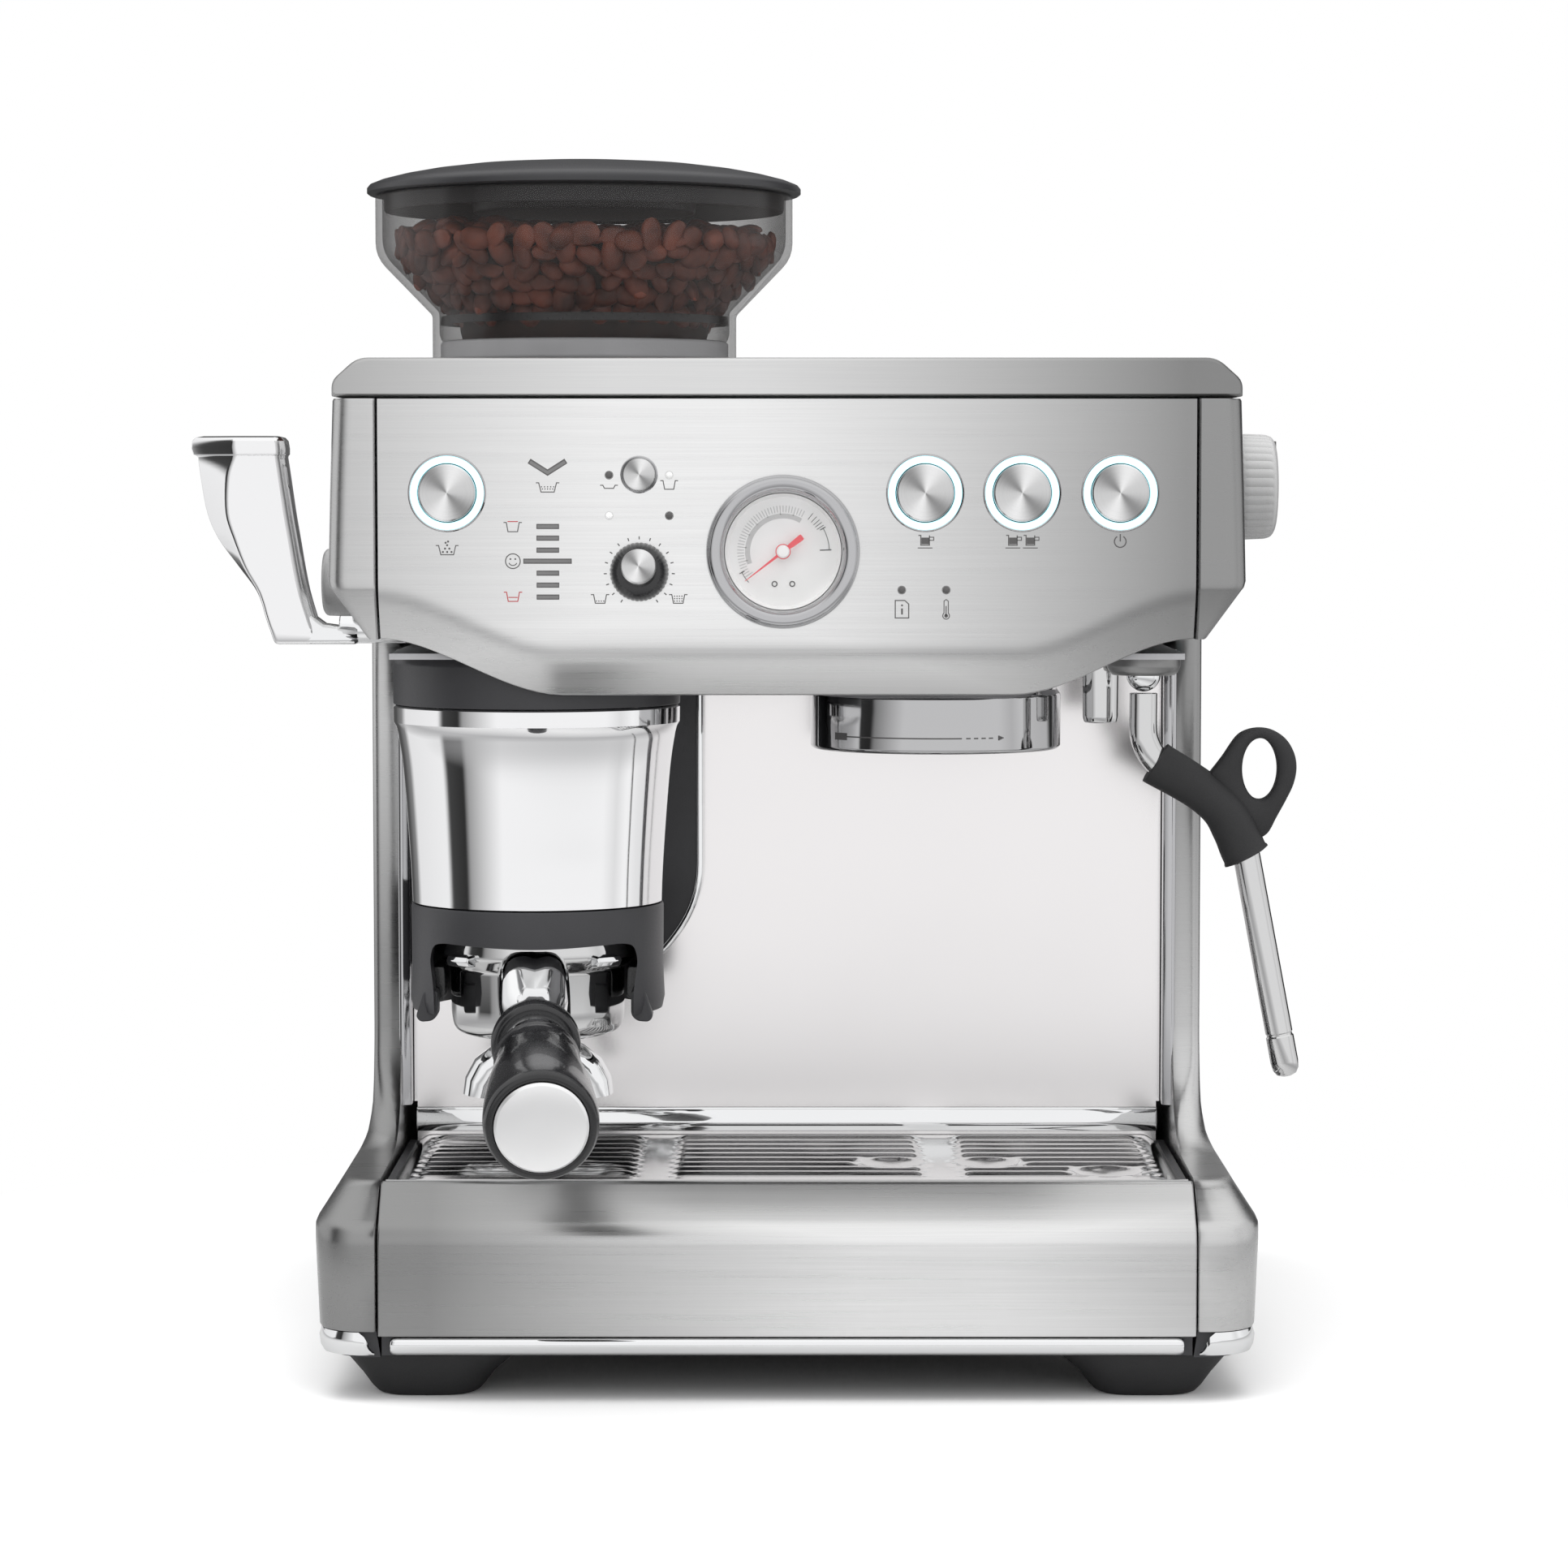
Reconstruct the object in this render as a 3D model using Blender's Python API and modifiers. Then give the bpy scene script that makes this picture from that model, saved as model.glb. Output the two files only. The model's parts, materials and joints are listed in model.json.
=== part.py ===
"""Espresso machine with a built-in grinder and a lever tamper, as separate pieces.

Metres, +Z up, the front faces -Y and the user's right is +X. Places are given from the middle of
the case, at floor level. One empty carries everything, so that the world origin is the bottom
centre of the whole machine's box.
"""

import math

import bmesh
import bpy
from mathutils import Vector

# Driving dimensions
GAP = 0.0003  # clearance between pieces that touch
ORIGIN_SHIFT = (0.0149, 0.0468, 0.0)  # case middle, seen from the centre of the overall box
FRONT = -0.160  # front plane of the head and the base
REAR = 0.155  # rear face of the case
SEAM = 0.1340  # half width of the front panel of the head
BASE_SEAM = 0.1354  # half width of the drip tray's front
COLUMN_OUTER = 0.1458
BASE_OUTER = 0.1570
SHEET = 0.002  # sheet metal and moulded wall thickness

FOOT_RADIUS = 0.025
FOOT_HEIGHT = 0.0143
FOOT_X = 0.123
PAN_TOP = 0.0177
BASE_BEND = 0.0574  # where the base front starts to slope back
BASE_TOP = 0.0715
GRATE_FRONT = -0.1420
GRATE_REAR = -0.0368
SPLASH_FRONT = -0.040
COLUMN_FRONT = -0.050
COLUMN_TOP = 0.2505

HEAD_FLOOR = 0.2452  # underside of the frame's floor inside the head
HEAD_BEND = 0.2477  # where the head front bends back, at the middle
HEAD_BOTTOM = 0.2335
HEAD_TOP = 0.3310
COVER_TOP = 0.3440
TANK_FRONT = 0.0975

HOPPER = (-0.0715, -0.030)
HOPPER_RADIUS = 0.0735
NECK_RADIUS = 0.0536
TAMPER = (-0.085, -0.100)
LEVER_AXIS = (-0.083, 0.2534)  # y and z of the lever's shaft
PINION_RADIUS = 0.0132
PORTAFILTER_RIM = 0.150
GROUP = (0.051, -0.085)
GROUP_RADIUS = 0.0429
GROUP_BOTTOM = 0.2126
WAND = (0.120, -0.115)
WAND_BALL_Z = 0.2390
GAUGE = (-0.0013, 0.2809)
GAUGE_RADIUS = 0.025
BUTTON_RADIUS = 0.0094
RING_RADIUS = 0.0125
BUTTON_ROW = 0.300
BUTTONS = {"dose": -0.1108, "one_cup": 0.0450, "two_cup": 0.0766, "power": 0.1086}
FILTER_BUTTON = (-0.0482, 0.3060)
DOSE_DIAL = (-0.0482, 0.2743)
SIDE_DIAL = (-0.090, 0.302)  # y and z of the steam dial on the right cheek
GRIND_DIAL = (-0.1292, -0.060, 0.309)

# The directions in which a piece's own Z axis, or an outline's normal, can point
FACING = {
    "up": (0.0, 0.0, 0.0),
    "front": (math.pi / 2, 0.0, 0.0),
    "right": (0.0, math.pi / 2, 0.0),
    "left": (0.0, -math.pi / 2, 0.0),
    "side": (math.pi / 2, 0.0, math.pi / 2),
}

COLOURS = {
    "brushed_steel": ((0.62, 0.62, 0.61), 0.32, 1.0),
    "satin_steel": ((0.66, 0.66, 0.65), 0.42, 1.0),
    "chrome": ((0.80, 0.81, 0.82), 0.06, 1.0),
    "polished_steel": ((0.78, 0.78, 0.78), 0.12, 1.0),
    "charcoal_plastic": ((0.030, 0.030, 0.032), 0.45, 0.0),
    "black_plastic": ((0.012, 0.012, 0.013), 0.30, 0.0),
    "rubber": ((0.020, 0.020, 0.021), 0.75, 0.0),
    "smoky_plastic": ((0.16, 0.15, 0.15), 0.08, 0.0),
    "glass": ((0.92, 0.94, 0.95), 0.03, 0.0),
    "dial_white": ((0.86, 0.86, 0.85), 0.50, 0.0),
    "needle_red": ((0.65, 0.03, 0.02), 0.40, 0.0),
    "light_guide": ((0.90, 0.95, 1.00), 0.30, 0.0),
    "satin_grey": ((0.60, 0.60, 0.60), 0.38, 0.0),
    "coffee": ((0.055, 0.022, 0.012), 0.50, 0.0),
    "cast_metal": ((0.45, 0.45, 0.46), 0.50, 1.0),
    "circuit_green": ((0.02, 0.16, 0.06), 0.45, 0.0),
}


def clear_scene():
    """Remove what a new file starts with."""
    for obj in list(bpy.data.objects):
        bpy.data.objects.remove(obj, do_unlink=True)


def make_collection(name):
    made = bpy.data.collections.new(name)
    bpy.context.scene.collection.children.link(made)
    return made


def make_materials():
    """One Principled material for each entry of COLOURS."""
    made = {}
    for name, (colour, roughness, metallic) in COLOURS.items():
        material = bpy.data.materials.new(name)
        material.use_nodes = True
        shader = material.node_tree.nodes["Principled BSDF"]
        shader.inputs["Base Color"].default_value = (*colour, 1.0)
        shader.inputs["Roughness"].default_value = roughness
        shader.inputs["Metallic"].default_value = metallic
        made[name] = material
    return made


clear_scene()
PARTS = make_collection("espresso_machine")
CUTTERS = make_collection("cutters")
MATERIALS = make_materials()


# Tools that every piece below is made with


def pivot(name, place, parent=None):
    """An empty that a moving piece turns or slides about."""
    empty = bpy.data.objects.new(name, None)
    PARTS.objects.link(empty)
    empty.parent = parent
    empty.location = Vector(place) - (offset_of(parent) if parent else Vector())
    return empty


def offset_of(empty):
    """Where an empty stands, measured from the machine's own empty."""
    total = Vector()
    while empty is not None and empty is not MACHINE:
        total += empty.location
        empty = empty.parent
    return total


def add_piece(name, mesh, place, material=None, body=None, facing="up"):
    """Link a mesh as a part, or as a cutter when it has no material."""
    obj = bpy.data.objects.new(name, mesh)
    mesh.shade_smooth()
    mesh.set_sharp_from_angle(angle=math.radians(32))
    if material is None:
        CUTTERS.objects.link(obj)
        obj.hide_render = True
        obj.display_type = "WIRE"
    else:
        PARTS.objects.link(obj)
        mesh.materials.append(MATERIALS[material])
    holder = body or MACHINE
    obj.parent = holder
    obj.location = Vector(place) - offset_of(holder)
    obj.rotation_euler = FACING[facing] if isinstance(facing, str) else facing
    return obj


def mesh_of(name, shape):
    """Turn a bmesh into a mesh."""
    mesh = bpy.data.meshes.new(name)
    shape.to_mesh(mesh)
    shape.free()
    return mesh


def box(name, low, high, material=None, body=None):
    """A box between two corners."""
    low, high = Vector(low), Vector(high)
    shape = bmesh.new()
    bmesh.ops.create_cube(shape, size=1.0)
    bmesh.ops.scale(shape, vec=high - low, verts=shape.verts)
    return add_piece(name, mesh_of(name, shape), (low + high) / 2, material, body)


def cylinder(name, radius, length, place, facing="up", material=None, body=None, sides=26):
    """A cylinder with its middle at a place."""
    shape = bmesh.new()
    bmesh.ops.create_cone(
        shape, cap_ends=True, segments=sides, radius1=radius, radius2=radius, depth=length
    )
    return add_piece(name, mesh_of(name, shape), place, material, body, facing)


def ball(name, radius, place, material=None, body=None):
    shape = bmesh.new()
    bmesh.ops.create_uvsphere(shape, u_segments=16, v_segments=10, radius=radius)
    return add_piece(name, mesh_of(name, shape), place, material, body)


def turned(name, profile, place, material=None, body=None, facing="up", ring=False, sides=26):
    """A turned solid. Its profile of (radius, height) runs down the outside, top to bottom.

    A ring's profile goes on up the inside and is closed; any other starts and ends on the axis.
    """
    mesh = bpy.data.meshes.new(name)
    count = len(profile)
    edges = [(i, i + 1) for i in range(count - 1)]
    if ring:
        edges.append((count - 1, 0))
    mesh.from_pydata([(radius, 0.0, height) for radius, height in profile], edges, [])
    obj = add_piece(name, mesh, place, material, body, facing)
    screw = obj.modifiers.new("turn", "SCREW")
    screw.axis = "Z"
    screw.angle = 2 * math.pi
    screw.steps = screw.render_steps = sides
    screw.use_merge_vertices = True
    screw.merge_threshold = 0.00001
    screw.use_smooth_shade = True
    return obj


def ring_profile(inner, outer, low, high):
    """The closed profile of a plain ring."""
    return [(outer, high), (outer, low), (inner, low), (inner, high)]


def curve_to_mesh(name, curve):
    """The closed mesh of a filled or bevelled curve, with its caps welded on."""
    holder = bpy.data.objects.new(name, curve)
    PARTS.objects.link(holder)
    evaluated = holder.evaluated_get(bpy.context.evaluated_depsgraph_get())
    mesh = bpy.data.meshes.new_from_object(evaluated)
    bpy.data.objects.remove(holder, do_unlink=True)
    shape = bmesh.new()
    shape.from_mesh(mesh)
    bmesh.ops.remove_doubles(shape, verts=shape.verts, dist=0.00001)
    bmesh.ops.recalc_face_normals(shape, faces=shape.faces)
    shape.to_mesh(mesh)
    shape.free()
    return mesh


def prism(name, outline, facing, low, high, material=None, body=None):
    """A flat outline carried from low to high along its normal.

    Facing "up" reads the outline as (x, y), "front" as (x, z) carried along y, and "side" as
    (y, z) carried along x.
    """
    curve = bpy.data.curves.new(name, "CURVE")
    curve.dimensions = "2D"
    curve.fill_mode = "BOTH"
    curve.extrude = (high - low) / 2
    spline = curve.splines.new("POLY")
    spline.points.add(len(outline) - 1)
    for point, (across, along) in zip(spline.points, outline):
        point.co = (across, along, 0.0, 1.0)
    spline.use_cyclic_u = True
    middle = (high + low) / 2
    places = {"up": (0.0, 0.0, middle), "front": (0.0, middle, 0.0), "side": (middle, 0.0, 0.0)}
    return add_piece(name, curve_to_mesh(name, curve), places[facing], material, body, facing)


def tube(name, points, radius, material=None, body=None, closed=False, sides=3):
    """A round bar along a line of points."""
    curve = bpy.data.curves.new(name, "CURVE")
    curve.dimensions = "3D"
    curve.bevel_depth = radius
    curve.bevel_resolution = sides
    curve.use_fill_caps = not closed
    spline = curve.splines.new("POLY")
    spline.points.add(len(points) - 1)
    start = Vector(points[0])
    for point, place in zip(spline.points, points):
        point.co = (*(Vector(place) - start), 1.0)
    spline.use_cyclic_u = closed
    return add_piece(name, curve_to_mesh(name, curve), start, material, body)


def loft(name, sections, material=None, body=None):
    """Skin a row of closed sections, each with the same number of points, and cap both ends."""
    start = Vector(sections[0][0])
    shape = bmesh.new()
    rows = [[shape.verts.new(Vector(p) - start) for p in section] for section in sections]
    count = len(rows[0])
    for low, high in zip(rows, rows[1:]):
        for i in range(count):
            j = (i + 1) % count
            shape.faces.new((low[i], low[j], high[j], high[i]))
    shape.faces.new(rows[0])
    shape.faces.new(rows[-1])
    bmesh.ops.recalc_face_normals(shape, faces=shape.faces)
    return add_piece(name, mesh_of(name, shape), start, material, body)


def boolean(target, tool, operation):
    modifier = target.modifiers.new(operation.lower(), "BOOLEAN")
    modifier.operation = operation
    modifier.solver = "EXACT"
    modifier.object = tool


def cut(target, *tools):
    """Take the tools' shapes out of a piece."""
    for tool in tools:
        boolean(target, tool, "DIFFERENCE")


def join(target, *tools):
    """Add the tools' shapes to a piece."""
    for tool in tools:
        boolean(target, tool, "UNION")


def repeat(obj, count, step):
    """Repeat a shape in a row."""
    array = obj.modifiers.new("row", "ARRAY")
    array.count = count
    array.use_relative_offset = False
    array.use_constant_offset = True
    array.constant_offset_displace = step


def round_edges(obj, width, segments=1, angle=40):
    """Round the edges that are sharper than an angle in degrees."""
    bevel = obj.modifiers.new("round", "BEVEL")
    bevel.width = width
    bevel.segments = segments
    bevel.limit_method = "ANGLE"
    bevel.angle_limit = math.radians(angle)
    bevel.use_clamp_overlap = True


def between(start, end, share):
    return start + (end - start) * share


def ease(share):
    """A smooth step from 0 to 1."""
    share = min(max(share, 0.0), 1.0)
    return share * share * (3 - 2 * share)


def arc(centre, radius, start, end, count):
    """Points of an arc in a plane, with its angles in degrees."""
    angles = [math.radians(between(start, end, i / (count - 1))) for i in range(count)]
    return [(centre[0] + radius * math.cos(a), centre[1] + radius * math.sin(a)) for a in angles]


MACHINE = bpy.data.objects.new("machine", None)
PARTS.objects.link(MACHINE)
MACHINE.location = ORIGIN_SHIFT


# The case


def foot(name, x, y):
    obj = cylinder(name, FOOT_RADIUS, FOOT_HEIGHT, (x, y, FOOT_HEIGHT / 2), "up", "rubber")
    round_edges(obj, 0.003)


def base_pan():
    """The floor of the case, with the hollow shelf that the tank stands on."""
    half = BASE_SEAM - 0.0006
    low = FOOT_HEIGHT + GAP
    pan = box("base_pan", (-half, -0.135, low), (half, REAR, PAN_TOP), "charcoal_plastic")
    shelf = box("shelf", (-half, TANK_FRONT + 0.001, PAN_TOP - 0.001), (half, REAR - 0.001, 0.058))
    hollow = box("shelf_hollow", (-half + 0.006, TANK_FRONT + 0.005, 0.010), (half - 0.006, 0.151, 0.055))
    join(pan, shelf)
    cut(pan, hollow)


def base_section(z, half, front, corner):
    """One level of the base cheek: its plan outline on the right side."""
    inner = BASE_SEAM + GAP
    outline = [(inner, REAR), (inner, front)]
    outline += arc((half - corner, front + corner), corner, -90, 0, 6)
    outline.append((half, REAR))
    return [(x, y, z) for x, y in outline]


def column_outline():
    """The side view of the column, which sweeps out of the cheek's top."""
    sweep = arc((COLUMN_FRONT - 0.040, BASE_TOP + 0.0405), 0.040, -90, 0, 9)
    return [(-0.130, 0.040), (-0.130, BASE_TOP + 0.0003)] + sweep + [
        (COLUMN_FRONT, COLUMN_TOP),
        (REAR - 0.0005, COLUMN_TOP),
        (REAR - 0.0005, 0.040),
    ]


def side_panel(side):
    """The base cheek and the column above it, one pressing on each side of the machine."""
    sign = -1 if side == "left" else 1
    levels = [
        (FOOT_HEIGHT + 0.0006, 0.1540, FRONT + 0.003, 0.016),
        (0.0220, 0.1556, FRONT, 0.016),
        (BASE_BEND, BASE_OUTER, FRONT, 0.016),
        (BASE_TOP, 0.1490, FRONT + 0.018, 0.010),
    ]
    sections = [[(sign * x, y, z) for x, y, z in base_section(*level)] for level in levels]
    panel = loft(f"side_panel_{side}", sections, "brushed_steel")
    near, far = sorted((sign * (BASE_SEAM + 0.0009), sign * COLUMN_OUTER))
    column = prism(f"column_{side}", column_outline(), "side", near, far)
    lip_near, lip_far = sorted((sign * (BASE_SEAM - 0.0027), sign * (BASE_SEAM + 0.002)))
    lip = box(
        f"lip_{side}",
        (lip_near, COLUMN_FRONT, BASE_TOP + 0.0125),
        (lip_far, SPLASH_FRONT - 0.001, COLUMN_TOP - 0.0005),
    )
    hollow_near, hollow_far = sorted((sign * (BASE_SEAM - 0.004), sign * (COLUMN_OUTER - SHEET)))
    hollow = box(
        f"column_hollow_{side}",
        (hollow_near, SPLASH_FRONT + 0.002, 0.080),
        (hollow_far, REAR - 0.004, COLUMN_TOP - 0.004),
    )
    base_near, base_far = sorted((sign * (BASE_SEAM - 0.004), sign * (BASE_OUTER - 0.007)))
    base_hollow = box(
        f"cheek_hollow_{side}", (base_near, -0.130, 0.0195), (base_far, REAR - 0.005, 0.066)
    )
    join(panel, column, lip)
    cut(panel, hollow, base_hollow)


def splash_back():
    """The bright wall of the bay, and the rail at its foot, behind the drip tray."""
    half = BASE_SEAM - 0.0031
    top = HEAD_FLOOR - GAP
    wall = box(
        "splash_back", (-half, SPLASH_FRONT, 0.0842), (half, SPLASH_FRONT + SHEET, top), "polished_steel"
    )
    rail = box("splash_rail", (-0.1315, -0.0362, 0.0600), (0.1315, -0.0205, 0.0838))
    joint = box("splash_foot", (-0.1305, -0.0390, 0.0830), (0.1305, -0.0350, 0.0860))
    join(rail, joint)
    join(wall, rail)


def inner_frame():
    """The frame inside the case: an upright wall before the tank and the floor of the head."""
    half = 0.1310
    wall_low = PAN_TOP + GAP
    wall = box("inner_frame", (-half, 0.0945, wall_low), (half, 0.0965, HEAD_TOP - 0.001), "cast_metal")
    floor = box("head_floor", (-half, -0.148, HEAD_FLOOR), (half, 0.0955, HEAD_FLOOR + SHEET))
    slot = box("tamper_slot", (-0.0925, -0.108, HEAD_FLOOR - 0.01), (-0.0775, -0.066, HEAD_FLOOR + 0.01))
    motor_hole = cylinder("motor_hole", 0.032, 0.02, (HOPPER[0], 0.040, HEAD_FLOOR))
    join(wall, floor)
    cut(wall, slot, motor_hole)


def head_front_section(x):
    """The front panel's section at a place across the machine; it bends higher near the seams."""
    lift = ease((abs(x) - 0.078) / (SEAM - 0.078))
    bend = between(HEAD_BEND, 0.2670, lift)
    bottom = between(HEAD_BOTTOM, 0.2520, lift)
    back = FRONT + 0.0085
    return [
        (x, FRONT, HEAD_TOP - GAP),
        (x, FRONT, bend),
        (x, back, bottom),
        (x, back + SHEET, bottom + 0.0004),
        (x, FRONT + SHEET, bend + 0.0012),
        (x, FRONT + SHEET, HEAD_TOP - GAP),
    ]


def head_front_panel():
    """The panel that carries the controls, with a hole for each of them."""
    half = SEAM - 0.0003
    near = [half, 0.1265, 0.1185, 0.1110, 0.1035, 0.0960, 0.0870, 0.0780]
    stations = [-x for x in near] + list(reversed(near))
    panel = loft("head_front_panel", [head_front_section(x) for x in stations], "brushed_steel")
    holes = [(f"hole_{name}", RING_RADIUS + GAP, (x, BUTTON_ROW)) for name, x in BUTTONS.items()]
    holes.append(("hole_filter", 0.0056, FILTER_BUTTON))
    holes.append(("hole_dose_dial", 0.0036, DOSE_DIAL))
    holes.append(("hole_gauge", 0.0216, GAUGE))
    for name, radius, (x, z) in holes:
        cut(panel, cylinder(name, radius, 0.02, (x, FRONT, z), "front"))


def cheek_section(z, half, front, corner, sign):
    inner = SEAM + GAP
    outline = [(inner, REAR), (inner, front)]
    outline += arc((half - corner, front + corner), corner, -90, 0, 5)
    outline.append((half, REAR))
    return [(sign * x, y, z) for x, y in outline]


def head_cheek(side):
    """The side of the head, hollow behind, and chamfered towards its lower edge."""
    sign = -1 if side == "left" else 1
    levels = [
        (0.2520, 0.1372, FRONT + 0.0085, 0.002),
        (0.2670, 0.1485, FRONT, 0.006),
        (0.2705, 0.1503, FRONT, 0.007),
        (HEAD_TOP - GAP, 0.1485, FRONT, 0.007),
    ]
    sections = [cheek_section(*level, sign) for level in levels]
    cheek = loft(f"head_cheek_{side}", sections, "brushed_steel")
    near, far = sorted((sign * (SEAM - 0.002), sign * 0.1465))
    hollow = box(f"head_hollow_{side}", (near, FRONT + 0.009, 0.270), (far, REAR - 0.003, 0.327))
    cut(cheek, hollow)
    return cheek


def head_cheeks():
    """Both cheeks: the left takes the lever's shaft and the grind dial, the right the steam dial."""
    left, right = head_cheek("left"), head_cheek("right")
    shaft = cylinder("shaft_hole", 0.0056, 0.04, (-0.145, *LEVER_AXIS), "right")
    x, y, z = GRIND_DIAL
    slot = box("grind_slot", (-0.170, y - 0.0250, z - 0.0046), (-0.120, y + 0.0250, z + 0.0046))
    cut(left, shaft, slot)
    cut(right, cylinder("steam_hole", 0.0036, 0.04, (0.145, *SIDE_DIAL), "right", sides=20))


def top_cover():
    """The top of the head: a plate with raised edges, a cup warmer and the hopper's hole."""
    low = HEAD_TOP + GAP
    half, shoulder = 0.1485, 0.1400
    outline = [
        (-half, low), (half, low), (half, low + 0.0047), (shoulder, COVER_TOP),
        (-shoulder, COVER_TOP), (-half, low + 0.0047),
    ]
    rear = TANK_FRONT - 0.0010
    cover = prism("top_cover", outline, "front", FRONT, rear, "satin_steel")
    under = box("cover_under", (-0.1385, FRONT + 0.004, low - 0.001), (0.1385, rear - 0.003, 0.3385))
    warmer = box("cup_warmer", (-0.1335, FRONT + 0.010, 0.3420), (0.1335, rear - 0.008, 0.350))
    hole = cylinder("hopper_hole", 0.0480, 0.05, (*HOPPER, low + 0.01), sides=32)
    cut(cover, under, warmer, hole)


def tank():
    """The water tank stands on the shelf behind the frame and lifts straight up with its lid."""
    body = pivot("tank_lift", (0.0, 0.126, 0.0588), MACHINE)
    half, front, rear, top = 0.1290, TANK_FRONT, 0.1540, 0.3300
    shell = box("water_tank", (-half, front, 0.0586), (half, rear, top), "smoky_plastic", body)
    hollow = box("tank_hollow", (-half + 0.0025, front + 0.0025, 0.0616), (half - 0.0025, rear - 0.0025, 0.34))
    cut(shell, hollow)
    lid = box("tank_lid", (-half, front, top + GAP), (half, rear, COVER_TOP), "charcoal_plastic", body)
    grip = box("lid_grip", (-0.045, front + 0.012, COVER_TOP - 0.007), (0.045, rear - 0.012, 0.36))
    cut(lid, grip)


# The base's tray


def drip_tray():
    """The tray slides out to the front; its grate lifts off it."""
    body = pivot("tray_slide", (0.0, FRONT, PAN_TOP), MACHINE)
    half = 0.1342
    tray = box(
        "drip_tray", (-half, -0.1425, PAN_TOP + 0.0006), (half, -0.0366, 0.0698), "charcoal_plastic", body
    )
    hollow = box("tray_hollow", (-half + 0.0025, -0.1400, 0.0206), (half - 0.0025, -0.0386, 0.08))
    cut(tray, hollow)

    lip = FRONT + 0.0155
    outline = [
        (FRONT, 0.0224), (FRONT, BASE_BEND), (lip, 0.0712), (lip + 0.0017, 0.0712),
        (lip + 0.0015, 0.0694), (FRONT + SHEET, BASE_BEND - 0.001), (FRONT + SHEET, 0.0224),
    ]
    front = prism("drip_tray_front", outline, "side", -BASE_SEAM + GAP, BASE_SEAM - GAP, "brushed_steel", body)
    strip = box("tray_trim", (-0.131, FRONT + 0.0006, 0.0160), (0.131, FRONT + 0.0017, 0.0235))
    join(front, strip)

    lift = pivot("grate_lift", (0.0, GRATE_FRONT, 0.0701), body)
    grate = box(
        "drip_tray_grate", (-0.1338, GRATE_FRONT, 0.0701), (0.1338, GRATE_REAR, 0.0725), "chrome", lift
    )
    rows, columns, panel_pitch = 9, 3, 0.0880
    row_pitch = (GRATE_REAR - GRATE_FRONT - 0.012) / rows
    first = GRATE_FRONT + 0.006 + row_pitch / 2
    slots = box("grate_slots", (-0.126, first - 0.0018, 0.065), (-0.050, first + 0.0018, 0.080))
    repeat(slots, rows, (0.0, row_pitch, 0.0))
    repeat(slots, columns, (panel_pitch, 0.0, 0.0))
    cut(grate, slots)


# Hopper and grinder


def hopper():
    """The bean hopper with its lid and beans: the hopper lifts out, and the lid lifts off it."""
    x, y = HOPPER
    body = pivot("hopper_lift", (x, y, 0.3423), MACHINE)
    wall = 0.0025
    neck = NECK_RADIUS
    shell = [
        (HOPPER_RADIUS, 0.4040), (HOPPER_RADIUS, 0.3828), (neck, 0.3623), (neck, 0.3424),
        (0.0470, 0.3424), (0.0470, 0.3345), (0.0180, 0.3345), (0.0180, 0.3375),
        (0.0440, 0.3450), (neck - wall, 0.3540), (neck - wall, 0.3636),
        (HOPPER_RADIUS - wall, 0.3841), (HOPPER_RADIUS - wall, 0.4040),
    ]
    turned("hopper", shell, (x, y, 0.0), "smoky_plastic", body, ring=True)
    beans = [
        (0.0, 0.3940), (0.0400, 0.3945), (0.0703, 0.3925), (0.0703, 0.3846), (0.0506, 0.3642),
        (0.0506, 0.3545), (0.0434, 0.3455), (0.0170, 0.3382), (0.0, 0.3382),
    ]
    turned("coffee_beans", beans, (x, y, 0.0), "coffee", body)
    lift = pivot("lid_lift", (x, y, 0.4043), body)
    lid = [
        (0.0, 0.4160), (0.0300, 0.4155), (0.0560, 0.4134), (0.0720, 0.4095), (0.0764, 0.4068),
        (0.0764, 0.4043), (0.0704, 0.4043), (0.0704, 0.3985), (0.0684, 0.3985), (0.0684, 0.4050),
        (0.0, 0.4050),
    ]
    turned("hopper_lid", lid, (x, y, 0.0), "charcoal_plastic", lift)


def grinder():
    """The burrs below the hopper, their gearbox, and the motor behind the splash back."""
    x, y = HOPPER
    upper = ring_profile(0.0215, 0.0300, 0.3130, 0.3320)
    turned("upper_burr", upper, (x, y, 0.0), "cast_metal", ring=True, sides=24)
    lower = [(0.0, 0.3300), (0.0060, 0.3300), (0.0195, 0.3140), (0.0195, 0.3100), (0.0050, 0.3100),
             (0.0050, 0.2885), (0.0, 0.2885)]
    turned("lower_burr", lower, (x, y, 0.0), "cast_metal", sides=24)
    box("grinder_gearbox", (x - 0.033, -0.060, 0.2660), (x + 0.033, 0.070, 0.2882), "charcoal_plastic")
    cylinder("grinder_motor", 0.028, 0.0950, (x, 0.040, 0.2182), "up", "cast_metal", sides=28)


def grind_dial():
    """A thumb wheel that shows its edge through the left cheek."""
    x, y, z = GRIND_DIAL
    body = pivot("grind_turn", (x, y, z), MACHINE)
    wheel = cylinder("grind_dial", 0.0240, 0.0080, (x, y, z), "up", "satin_grey", body, sides=30)
    round_edges(wheel, 0.0012)


# Water and steam


def boiler_and_pump():
    """The heating coil's block and the pump, behind the splash back."""
    block = box("thermocoil", (0.005, 0.000, 0.150), (0.085, 0.040, 0.228), "cast_metal")
    round_edges(block, 0.004)
    pump = cylinder("pump", 0.0200, 0.090, (0.045, 0.045, 0.090), "right", "black_plastic", sides=24)
    round_edges(pump, 0.003)


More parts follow.
